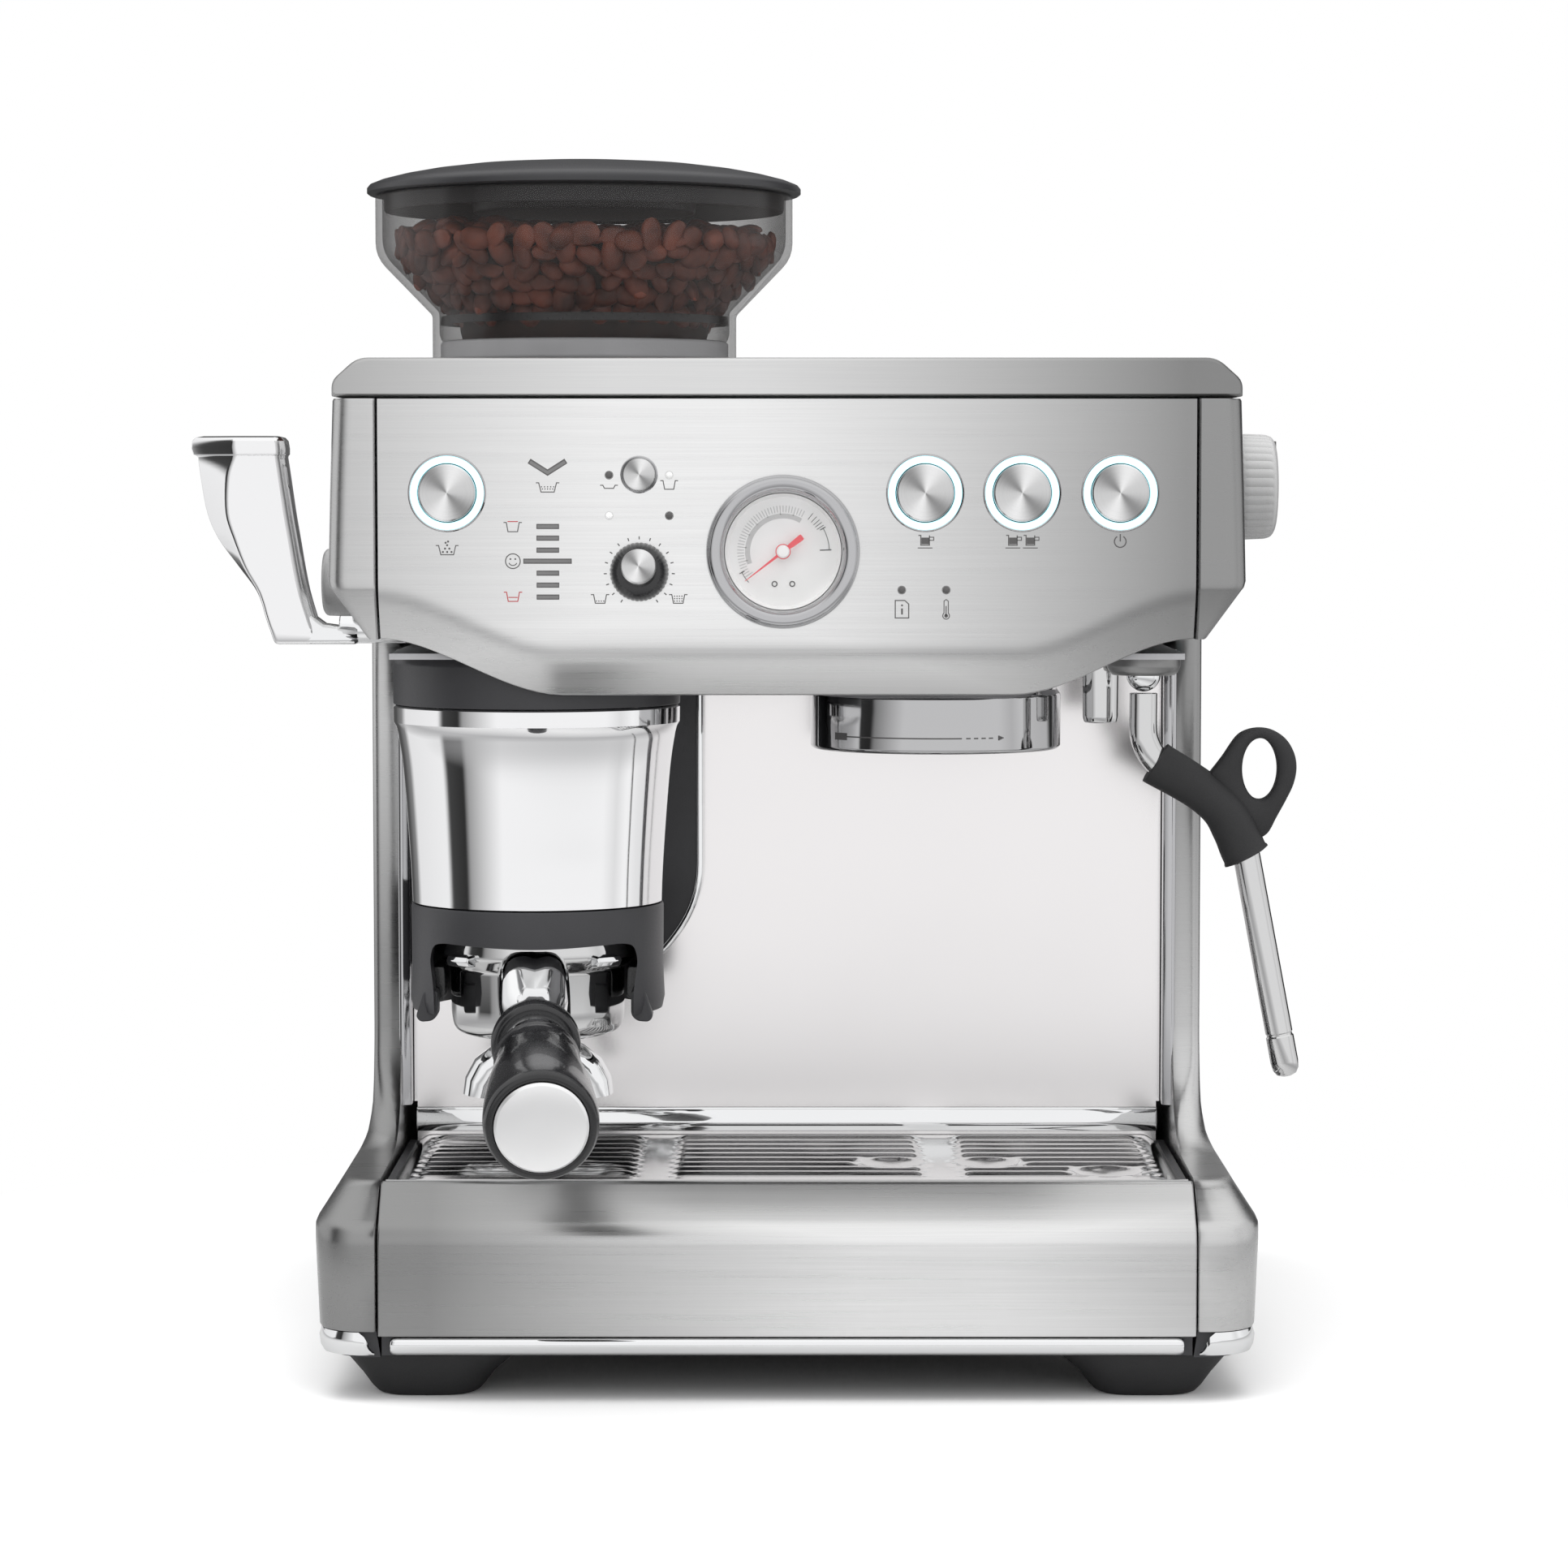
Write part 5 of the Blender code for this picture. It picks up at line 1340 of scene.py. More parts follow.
def portafilter_handle():
    """The handle turned about its own axis: ferrules, a chrome sleeve, the black grip and its cap."""
    x = TAMPER[0]
    start, end = at(x + 0.0024, -0.16, 0.1211), at(x + 0.0088, -0.244, 0.1038)
    along = (end - start).normalized()
    turn = along.to_track_quat("Z", "Y").to_matrix()
    length = (end - start).length
    ring = [
        (0.0, 0.0), (0.0125, 0.0), (0.0143, 0.0012), (0.0148, 0.0045), (0.0146, 0.008), (0.0134, 0.0094),
        (0.0, 0.0094)
    ]
    mesh = lathe("neck_ring", ring, start, turn, 96, round_by=0.0005)
    add_piece("handle_neck_ring", mesh, BLACK, "portafilter", (), 35)
    sleeve = [(0.0, 0.009), (0.0118, 0.009), (0.0122, 0.012), (0.0123, 0.02), (0.0118, 0.0232), (0.0, 0.0232)]
    mesh = lathe("sleeve", sleeve, start, turn, 96, round_by=0.0005)
    add_piece("handle_sleeve", mesh, CHROME, "portafilter", (), 35)
    grip = [
        (0.0, length - 0.0012), (0.0151, length - 0.0012), (0.0151, length - 0.0002), (0.016, length),
        (0.0172, length - 0.0004), (0.0181, length - 0.0022), (0.0183, length - 0.006),
        (0.018, length - 0.015), (0.017, length - 0.03), (0.0152, length - 0.044), (0.0138, length - 0.054),
        (0.0136, 0.0262), (0.0142, 0.0238), (0.0136, 0.0222), (0.011, 0.0218), (0.0, 0.0218),
    ]
    corners = [
        0, 0.0002, 0.0003, 0.0004, 0.0005, 0.0008, 0.002, 0.003, 0.006, 0.006, 0.002, 0.001, 0.001, 0.0005,
        0.0003, 0
    ]
    profile = [tuple(p) for p in rounded(grip, corners, False, 4)]
    mesh = lathe("grip", profile, start, turn, 112)
    add_piece("handle_grip", mesh, BLACK, "portafilter", ["portafilter_handle"], 35)
    cap = [
        (0.0, 0.0032), (0.006, 0.0031), (0.011, 0.0028), (0.014, 0.0021), (0.0148, 0.0012), (0.0149, 0.0),
        (0.0, 0.0)
    ]
    mesh = lathe("cap", cap, start + along * (length - 0.0009), turn, 112)
    add_piece("handle_end_cap", mesh, CAP_STEEL, "portafilter", ["handle_cap"], 30)


def spouts():
    """The twin spouts: a stub under the bowl and two flared channels with open, rounded tips."""
    x, y = TAMPER
    stub = [(0.0, 0.1154), (0.0092, 0.1154), (0.0092, 0.1128), (0.008, 0.111), (0.0068, 0.104), (0.0, 0.103)]
    mesh = lathe("stub", stub, at(x, y, 0.0), steps=64, round_by=0.0008)
    add_piece("spout_stub", mesh, CHROME, "portafilter", ["portafilter_spout"], 35)
    for name, sign in (("left", -1), ("right", 1)):
        rows = []
        for across, z, thick, deep in (
            (0.0, 0.1085, 0.0052, 0.0066), (0.007, 0.109, 0.0052, 0.0068), (0.013, 0.1074, 0.0052, 0.007),
            (0.0175, 0.104, 0.0052, 0.0072), (0.0203, 0.0992, 0.005, 0.0072), (0.0212, 0.0945, 0.0046, 0.0068)
        ):
            heading = {0.0: 0, 0.007: -6, 0.013: -28, 0.0175: -52, 0.0203: -68, 0.0212: -80}[across]
            up = Vector((sign * -math.sin(math.radians(heading)), 0, math.cos(math.radians(heading))))
            row = []
            for k in range(32):
                a = 2 * math.pi * k / 32
                lift = math.copysign(abs(math.sin(a)) ** 0.8, math.sin(a)) * thick
                row.append(at(x + sign * across, y + math.cos(a) * deep, z) + up * lift)
            rows.append(row)
        inner = [
            [
                between(point, sum(row, Vector()) / len(row), 0.22) for point in row
            ] for row in (rows[-1], rows[-2])
        ]
        mesh = loft("spout", rows + inner)
        add_piece(f"spout_{name}", mesh, CHROME, "portafilter", (), 40)


# The group, the hot water spout and the steam wand


def group_ring():
    """The chrome ring that takes the portafilter, with a printed turn mark round its lower edge."""
    place = at(*GROUP, 0.0)
    ring = [
        (0.0414, 0.2449), (0.0414, 0.2332), (0.0428, 0.2314), (0.0429, 0.2136), (0.0419, 0.2126),
        (0.0345, 0.2126), (0.033, 0.2141), (0.033, 0.234), (0.015, 0.234), (0.015, 0.2449),
    ]
    mesh = lathe("ring", ring, place, steps=160, ring=True, round_by=0.0006)
    # The ring's darker chrome is painted shade
    add_piece("group_ring", mesh, GROUP_CHROME_PAINTED_SHADE, "case", ["group_housing"], 35)
    shape = bmesh.new()
    spans = [(-144, -80, 0.00022), (-144, -136, 0.0012)] + [
        (-78 + k * 3.6, -76 + k * 3.6, 0.00022) for k in range(4)
    ]
    spans += [(-62.5 + k * 0.7, -61.8 + k * 0.7, 0.0008 - 0.0002 * k) for k in range(4)]
    for start, end, half in spans:
        rows = []
        for k in range(13):
            a = math.radians(between(start, end, k / 12))
            low = 0.218 - half * (1 if half > 0.0003 else 1)
            corners = [(0.04285, low), (0.04298, low), (0.04298, 0.218 + half), (0.04285, 0.218 + half)]
            rows.append([place + Vector((r * math.cos(a), r * math.sin(a), z)) for r, z in corners])
        skin(shape, rows)
    add_piece("group_turn_mark", finished(shape, "mark"), INK, "case")


def water_spout():
    """The hot water spout: a flared foot and a short chrome tube with an open end."""
    tube = [
        (0.0078, 0.2449), (0.0074, 0.2436), (0.0062, 0.2428), (0.006, 0.224), (0.0056, 0.2222),
        (0.0048, 0.2219), (0.0044, 0.2226), (0.0044, 0.2449),
    ]
    mesh = lathe("spout", tube, at(0.1066, -0.1, 0.0), steps=80, ring=True, round_by=0.0004)
    add_piece("hot_water_tube", mesh, TUBE_CHROME, "case", ["hot_water_spout"], 35)


def steam_pipe():
    """The wand: its socket and ball, the bent upper tube, the rubber grip with its loop, and the tip."""
    x, y = WAND
    socket = [
        (0.0124, 0.2449), (0.0124, 0.2418), (0.0116, 0.24), (0.0104, 0.2388), (0.01, 0.2392), (0.0102, 0.2449)
    ]
    mesh = lathe("socket", socket, at(x, y, 0.0), steps=96, ring=True, round_by=0.0005)
    add_piece("wand_socket", mesh, SATIN, "case", ["wand_collar"], 35)
    ball = [
        (0.0058 * math.sin(a), 0.239 + 0.0058 * math.cos(a)) for a in (math.pi * i / 24 for i in range(25))
    ]
    ball[0], ball[-1] = (0.0, 0.2448), (0.0, 0.2332)
    add_piece(
        "wand_joint_ball", lathe("ball", ball, at(x, y, 0.0), steps=48), CHROME, "wand_swivel",
        ["wand_ball"]
    )
    path = [
        (x, y, 0.2328), (x, y, 0.23), (x, y, 0.221), (x + 0.0006, y, 0.2168), (x + 0.0026, y, 0.2124),
        (x + 0.0052, y, 0.2092)
    ]
    line = [at(*point) for point in smooth_line(path, 6)]
    radii = [0.0043, 0.0047] + [0.0047] * (len(line) - 2)
    add_piece(
        "wand_bent_tube", sweep("bent", line, radii, 40), TUBE_CHROME, "wand", ["wand_upper_tube"],
        50
    )

    grip = [
        (0.124, 0.2094), (0.1262, 0.208), (0.1338, 0.2036), (0.141, 0.1988), (0.1474, 0.193),
        (0.1512, 0.1866), (0.1536, 0.1806), (0.1552, 0.1774)
    ]
    line = [at(*point) for point in smooth_line([(a, y, z) for a, z in grip], 6)]
    radii = []
    for i in range(len(line)):
        share = i / (len(line) - 1)
        radius = between(0.0076, 0.007, ease(share * 2.2))
        radius += 0.0007 * ease((share - 0.45) / 0.25)
        radius += 0.0005 * math.exp(-(((share - 0.965) / 0.025) ** 2))
        radii.append(radius - 0.0016 * ease((0.025 - share) / 0.025) - 0.001 * ease((share - 0.985) / 0.015))
    add_piece(
        "wand_grip_sleeve", sweep("sleeve", line, radii, 48), RUBBER, "wand", ["wand_grip"], 60
    )

    around = [
        (141.9, 205.3), (146.5, 211.2), (151.2, 218.0), (155.0, 220.4), (159.6, 221.1), (164.1, 220.1),
        (168.2, 217.0), (170.8, 212.3), (171.5, 207.3), (170.5, 202.1), (168.2, 197.1), (165.0, 191.2),
        (161.6, 185.3), (157.0, 184.5), (150.5, 192.3), (144.7, 200.1),
    ]
    around = [Vector((a / 1000, y, z / 1000)) for a, z in around]
    outer = smooth_line(around + [around[0]], 5)[:-1]
    middle = Vector((0.1592, y, 0.2073))
    inner = []
    for point in outer:
        a = math.atan2((point.z - middle.z) / 0.0103, (point.x - middle.x) / 0.006)
        inner.append(Vector((middle.x + 0.006 * math.cos(a), y, middle.z + 0.0103 * math.sin(a))))
    shape = bmesh.new()
    count = len(outer)
    loops = []
    for share, depth in (
        (0.0, 0.0022), (0.0, -0.0022), (0.1, -0.0031), (0.5, -0.0036), (0.9, -0.0031), (1.0, -0.0022),
        (1.0, 0.0022), (0.9, 0.0031), (0.5, 0.0036), (0.1, 0.0031)
    ):
        loops.append(
            [
                shape.verts.new(at(*(between(o, i, share) + Vector((0, depth, 0))))) for o,
                i in zip(outer, inner)
            ]
        )
    for low, high in zip(loops, loops[1:] + loops[:1]):
        for k in range(count):
            j = (k + 1) % count
            shape.faces.new((low[k], low[j], high[j], high[k]))
    add_piece("wand_finger_loop", finished(shape, "loop"), RUBBER, "wand", (), 60)

    start, tip = Vector((0.1549, y, 0.179)), Vector((0.1693, y, 0.103))
    way = (tip - start).normalized()
    length = (tip - start).length
    profile = [
        (0.0, 0.0), (0.0046, 0.0), (0.0046, length - 0.0152), (0.0043, length - 0.0148),
        (0.0043, length - 0.0142)
    ]
    profile += [
        (0.0047, length - 0.0137), (0.0047, length - 0.005), (0.0043, length - 0.0024),
        (0.0033, length - 0.0008), (0.0016, length - 0.0001), (0.0, length)
    ]
    turn = way.to_track_quat("Z", "Y").to_matrix()
    mesh = lathe("pipe", profile, at(*start), turn, 64)
    add_piece("wand_pipe", mesh, TUBE_CHROME, "wand", ["wand_lower_tube"], 35)


# The tamping lever


def lever():
    """The chrome lever: a blade with a ridge down its face, a thumb rest, a foot and its shaft."""
    axis_y, axis_z = LEVER_AXIS
    # Height, left edge, ridge, right edge and half depth
    rows = [
        (0.2482, -0.1746, -0.1738, -0.16, 0.006),
        (0.249, -0.176, -0.1752, -0.1596, 0.007),
        (0.253, -0.1774, -0.1766, -0.16, 0.0076),
        (0.2569, -0.1788, -0.1779, -0.1612, 0.0078),
        (0.2659, -0.1818, -0.1806, -0.1638, 0.008),
        (0.2744, -0.1879, -0.1852, -0.1655, 0.0082),
        (0.2841, -0.195, -0.1886, -0.1671, 0.0084),
        (0.2931, -0.1989, -0.191, -0.1686, 0.0086),
        (0.3052, -0.2011, -0.1904, -0.1703, 0.0088),
        (0.312, -0.202, -0.188, -0.1713, 0.0089),
    ]
    fine = []
    for i in range((len(rows) - 1) * 5 + 1):
        k, t = min(i // 5, len(rows) - 2), (i - 5 * min(i // 5, len(rows) - 2)) / 5
        picks = [rows[max(k - 1, 0)], rows[k], rows[k + 1], rows[min(k + 2, len(rows) - 1)]]
        fine.append([curve_point(*values, t) for values in zip(*picks)])
    fine += [
        [0.3126, -0.2024, -0.188, -0.1712, 0.009], [0.3131, -0.2036, -0.188, -0.1708, 0.0098],
        [0.315, -0.2042, -0.188, -0.1708, 0.0102], [0.3176, -0.204, -0.188, -0.1712, 0.01],
        [0.3188, -0.2028, -0.188, -0.1722, 0.009], [0.3193, -0.2, -0.188, -0.1742, 0.0066]
    ]
    shape_rows = []
    for z, left, ridge, right, deep in fine:
        corners = [
            (left, 0.0), (ridge, -deep), (right - 0.0022, -deep), (right, -deep * 0.62), (right, deep * 0.62),
            (right - 0.0022, deep), (ridge, deep)
        ]
        points = rounded(
            [Vector((a, axis_y + b, z)) for a, b in corners],
            [0.0006, 0.0016, 0.002, 0.0012, 0.0012, 0.002, 0.0016], True, 5
        )
        shape_rows.append([at(*point) for point in points])
    add_piece("lever_blade", loft("blade", shape_rows), TURNED_CHROME, "lever", ["tamp_lever"], 32)
    rows = []
    for a, low, high, deep in (
        (-0.1735, 0.2482, 0.259, 0.0066), (-0.164, 0.2482, 0.259, 0.0072), (-0.1612, 0.2482, 0.2572, 0.0072),
        (-0.1585, 0.2482, 0.2552, 0.0072), (-0.154, 0.2482, 0.2546, 0.007), (-0.148, 0.2482, 0.254, 0.0068),
        (-0.147, 0.2488, 0.2534, 0.006)
    ):
        corners = [(axis_y - deep, low), (axis_y + deep, low), (axis_y + deep, high), (axis_y - deep, high)]
        rows.append([at(a, p[0], p[1]) for p in rounded(corners, 0.0018, True, 5)])
    add_piece("lever_foot", loft("foot", rows), CHROME, "lever", (), 40)
    shaft = [
        (0.0, 0.0), (0.0046, 0.0), (0.005, 0.0004), (0.005, 0.064), (0.0046, 0.0644), (0.0132, 0.0644),
        (0.0132, 0.0724), (0.0, 0.0724)
    ]
    mesh = lathe("shaft", shaft, at(-0.1534, axis_y, axis_z), TO_RIGHT, 48)
    add_piece("lever_shaft", mesh, CHROME, "lever", (), 30)
    boss = [(0.0, 0.0), (0.01, 0.0), (0.0116, 0.0012), (0.012, 0.013), (0.0, 0.013)]
    mesh = lathe("boss", boss, at(-0.1606, -0.066, 0.269), TO_RIGHT, 64, round_by=0.0008)
    add_piece("lever_boss", mesh, SATIN_GREY, "case", (), 35)


def grind_wheel():
    """The grind wheel's rim, knurled, showing through a slot in the left cheek."""
    x, y, z = -0.1292, -0.06, 0.309
    profile = [
        (0.0, 0.0038), (0.02, 0.0038), (0.0232, 0.0032), (0.024, 0.002), (0.024, -0.002), (0.0232, -0.0032),
        (0.02, -0.0038), (0.0, -0.0038)
    ]
    mesh = lathe("wheel", profile, at(x, y, z), steps=240)
    middle = at(x, y, z)
    for vert in mesh.vertices:
        offset = vert.co - middle
        radius = math.hypot(offset.x, offset.y)
        if radius > 0.0225:
            notch = 0.0005 * max(0.0, math.cos(60 * math.atan2(offset.y, offset.x)))
            vert.co = middle + Vector(
                (offset.x * (1 - notch / radius), offset.y * (1 - notch / radius), offset.z)
            )
    add_piece("grind_wheel_rim", mesh, SATIN_GREY, "grind_wheel", ["grind_dial"], 40)


def steam_knob():
    """The pale steam knob and the dark collar behind it, on the right cheek."""
    y, z = -0.09, 0.302
    collar = [
        (0.0036, 0.1505), (0.0212, 0.1505), (0.0218, 0.1512), (0.0216, 0.1528), (0.0206, 0.1533),
        (0.0036, 0.1533)
    ]
    mesh = lathe("collar", collar, at(0.0, y, z), TO_RIGHT, 112, ring=True, round_by=0.0003)
    add_piece("steam_knob_collar", mesh, CHARCOAL, "case", ["steam_dial_collar"], 35)
    knob = [
        (0.0, 0.1664), (0.011, 0.1665), (0.015, 0.1662), (0.017, 0.165), (0.0177, 0.163), (0.018, 0.1556),
        (0.0176, 0.1536), (0.0032, 0.1535), (0.0032, 0.145), (0.0, 0.145),
    ]
    profile = [
        tuple(p) for p in rounded(knob, [0, 0.003, 0.001, 0.001, 0.001, 0.001, 0.0004, 0, 0, 0], False, 4)
    ]
    mesh = lathe("knob", profile, at(0.0, y, z), TO_RIGHT, 144)
    middle = at(0.0, y, z)
    for vert in mesh.vertices:
        offset = vert.co - middle
        radius = math.hypot(offset.y, offset.z)
        if radius > 0.0172 and 0.1545 < offset.x - 0 < 0.166:
            groove = 0.00035 * max(0.0, math.cos(36 * math.atan2(offset.z, offset.y)))
            share = 1 - groove / radius
            vert.co = middle + Vector((offset.x, offset.y * share, offset.z * share))
    add_piece("steam_knob_cap", mesh, SATIN_GREY, "steam_knob", ["steam_dial"], 40)
    pointer = [(-0.0006, 0.004), (0.0006, 0.004), (0.0006, 0.0155), (-0.0006, 0.0155)]
    rows = [[at(level, y + a, z + b) for a, b in pointer] for level in (0.166, 0.1668)]
    soften(add_piece("steam_knob_mark", loft("mark", rows), INK, "steam_knob"), 0.0002, 2)


# Controls and printed marks on the head's front

PRINT_LIFT = 0.00006
PRINT_SUNK = 0.00002
THIN_LINE = 0.00032


def stroke_into(shape, points, width, closed=False, lift=PRINT_LIFT):
    """A flat printed line on the front panel, through points given as (x, z)."""
    points = [Vector((p[0], p[1])) for p in points]
    count = len(points)
    sides = []
    for i, point in enumerate(points):
        before = points[(i - 1) % count] if closed or i > 0 else None
        after = points[(i + 1) % count] if closed or i < count - 1 else None
        ahead = Vector((0, 0))
        if after:
            ahead += (after - point).normalized()
        if before:
            ahead += (point - before).normalized()
        ahead = ahead.normalized() if ahead.length > 1e-6 else Vector((1, 0))
        across = Vector((-ahead.y, ahead.x))
        edge = (after - point if after else point - before).normalized()
        stretch = 1 / max(abs(across.dot(Vector((-edge.y, edge.x)))), 0.5)
        sides.append((point + across * width / 2 * stretch, point - across * width / 2 * stretch))
    rows = []
    for near, far in sides:
        corners = [(near, -PRINT_SUNK), (far, -PRINT_SUNK), (far, lift), (near, lift)]
        rows.append([at(p.x, FRONT - height, p.y) for p, height in corners])
    if closed:
        rows.append(rows[0])
    skin(shape, rows, cap=not closed)


def dot_into(shape, x, z, radius):
    """A printed dot on the front panel."""
    profile = [(0.0, -PRINT_SUNK), (radius, -PRINT_SUNK), (radius, PRINT_LIFT), (0.0, PRINT_LIFT)]
    lathe_into(shape, profile, at(x, FRONT, z), TO_FRONT, 20)


def basket_into(shape, x, z, wide, tall):
    """A filter basket drawn in outline."""
    lip = 0.0009
    half, top, foot = wide / 2, z + tall / 2, z - tall / 2
    stroke_into(
        shape,
        [
            (x - half - lip, top), (x - half, top), (x - half * 0.74, foot), (x + half * 0.74, foot),
            (x + half, top), (x + half + lip, top)
        ],
        THIN_LINE
    )


def cup_into(shape, x, z):
    stroke_into(
        shape,
        [
            (x - 0.0024, z + 0.002), (x - 0.0016, z + 0.002), (x - 0.0016, z - 0.0012),
            (x + 0.0012, z - 0.0012), (x + 0.0012, z + 0.002)
        ],
        0.00034
    )
    stroke_into(shape, [(x - 0.0014, z + 0.0002), (x + 0.0011, z + 0.0002)], 0.0022)
    stroke_into(
        shape,
        [
            (x + 0.0012, z + 0.0014), (x + 0.0026, z + 0.0014), (x + 0.0026, z + 0.0004),
            (x + 0.0012, z + 0.0004)
        ],
        0.0003
    )
    stroke_into(shape, [(x - 0.0026, z - 0.0021), (x + 0.0022, z - 0.0021)], 0.0003)


def printed_marks():
    """Drawn signs without words: baskets, level bars, cups, a smile, ticks and small lamps."""
    ink, red, grey = bmesh.new(), bmesh.new(), bmesh.new()
    for z in (0.2891, 0.2853, 0.2814, 0.2739, 0.27, 0.2661):
        stroke_into(ink, [(-0.0817, z), (-0.0743, z)], 0.0017)
        stroke_into(grey, [(-0.0814, z), (-0.0746, z)], 0.001, lift=0.00009)
    stroke_into(ink, [(-0.086, 0.2778), (-0.0702, 0.2778)], 0.0017)
    stroke_into(grey, [(-0.0857, 0.2778), (-0.0705, 0.2778)], 0.001, lift=0.00009)
    stroke_into(ink, [(-0.084, 0.3104), (-0.078, 0.3066), (-0.072, 0.3104)], 0.0018)
    stroke_into(grey, [(-0.0837, 0.3101), (-0.078, 0.3066), (-0.0723, 0.3101)], 0.001, lift=0.00009)

    basket_into(ink, -0.078, 0.3018, 0.0058, 0.003)
    for k in range(5):
        dot_into(ink, -0.08 + 0.001 * k, 0.302, 0.00022)
        dot_into(ink, -0.0797 + 0.00085 * k, 0.3013, 0.00022)
    basket_into(ink, -0.0894, 0.2889, 0.0042, 0.003)
    stroke_into(red, [(-0.0911, 0.2907), (-0.0877, 0.2907)], 0.0003)
    basket_into(red, -0.0894, 0.2662, 0.0042, 0.003)
    stroke_into(red, [(-0.0909, 0.266), (-0.0879, 0.266)], 0.0003)
    basket_into(ink, -0.1108, 0.2814, 0.0056, 0.003)
    for k, (a, b) in enumerate(
        [
            (-0.0014, 0), (0, 0), (0.0014, 0), (-0.0007, 0.0011), (0.0007, 0.0011), (0, 0.0022),
            (0.0003, 0.0034), (-0.0005, 0.003)
        ]
    ):
        dot_into(ink, -0.1108 + a, 0.2808 + b, 0.00034)
    stroke_into(
        ink, [(-0.0894 + p[0], 0.2778 + p[1]) for p in arc((0, 0), 0.0024, 0, 348, 30)], 0.00034, True
    )
    stroke_into(ink, [(-0.0894 + p[0], 0.2778 + p[1]) for p in arc((0, 0), 0.0014, 205, 335, 12)], 0.0003)
    dot_into(ink, -0.0902, 0.2785, 0.0003)
    dot_into(ink, -0.0886, 0.2785, 0.0003)
    for x, rows in ((-0.061, 1), (-0.0355, 3)):
        basket_into(ink, x, 0.2655, 0.0042, 0.0028)
        for row in range(rows):
            for k in range(4):
                dot_into(ink, x - 0.0012 + 0.0008 * k, 0.2648 + 0.0008 * row, 0.00022)
    basket_into(ink, -0.058, 0.302, 0.004, 0.001)
    basket_into(ink, -0.0384, 0.3026, 0.004, 0.0028)
    x, z = DOSE_DIAL
    for k in range(17):
        a = math.radians(238.75 - k * 18.59)
        ends = [(x + r * math.cos(a), z + r * math.sin(a)) for r in (0.0106, 0.0116)]
        stroke_into(ink, ends, 0.00036)
    cup_into(ink, 0.0452, 0.2842)
    cup_into(ink, 0.0738, 0.2842)
    cup_into(ink, 0.0795, 0.2842)
    stroke_into(ink, [(0.1086 + p[0], 0.2842 + p[1]) for p in arc((0, 0), 0.0019, 122, 418, 24)], 0.0004)
    stroke_into(ink, [(0.1086, 0.2866), (0.1086, 0.2842)], 0.0004)
    page = [(0.0353, 0.2593), (0.0397, 0.2593), (0.0397, 0.2638), (0.0384, 0.265), (0.0353, 0.265)]
    stroke_into(ink, page, 0.00036, True)
    dot_into(ink, 0.0375, 0.2634, 0.00034)
    stroke_into(ink, [(0.0375, 0.2624), (0.0375, 0.2604)], 0.0006)
    tube = [(0.0512, 0.2608), (0.0512, 0.2648), (0.0519, 0.2653), (0.0526, 0.2648), (0.0526, 0.2608)]
    stroke_into(ink, tube, 0.0003)
    stroke_into(ink, [(0.0519 + p[0], 0.26 + p[1]) for p in arc((0, 0), 0.0011, 130, 410, 18)], 0.0003)
    dot_into(ink, 0.0519, 0.26, 0.00062)
    stroke_into(ink, [(0.0519, 0.26), (0.0519, 0.2632)], 0.00034)
    add_piece("printed_signs", finished(ink, "signs"), INK, "case")
    add_piece("printed_bars", finished(grey, "bars"), PRINT_GREY, "case")
    add_piece("printed_red_signs", finished(red, "red"), RED_INK, "case")

    lamps = {"dark": (INK, [(-0.058, 0.3058), (-0.0384, 0.2926), (0.0374, 0.2684), (0.0519, 0.2684)]),
             "lit": (DIAL_WHITE, [(-0.0384, 0.3058), (-0.058, 0.2926)])}
    for name, (material, places) in lamps.items():
        shape, rims = bmesh.new(), bmesh.new()
        for x, z in places:
            profile = [(0.0, 0.00035), (0.0006, 0.0003), (0.001, 0.00012), (0.00115, 0.0), (0.0, -0.00005)]
            lathe_into(shape, profile, at(x, FRONT, z), TO_FRONT, 28)
            lathe_into(
                rims, [(0.00118, 0.0), (0.00118, 0.00012), (0.00142, 0.0001), (0.00142, 0.0)],
                at(x, FRONT, z), TO_FRONT, 28, True
            )
        add_piece(f"lamps_{name}", finished(shape, "lamps"), material, "case")
        add_piece(
            f"lamp_rims_{name}", finished(rims, "rims"), PRINT_GREY if name == "dark" else SATIN, "case",
        )


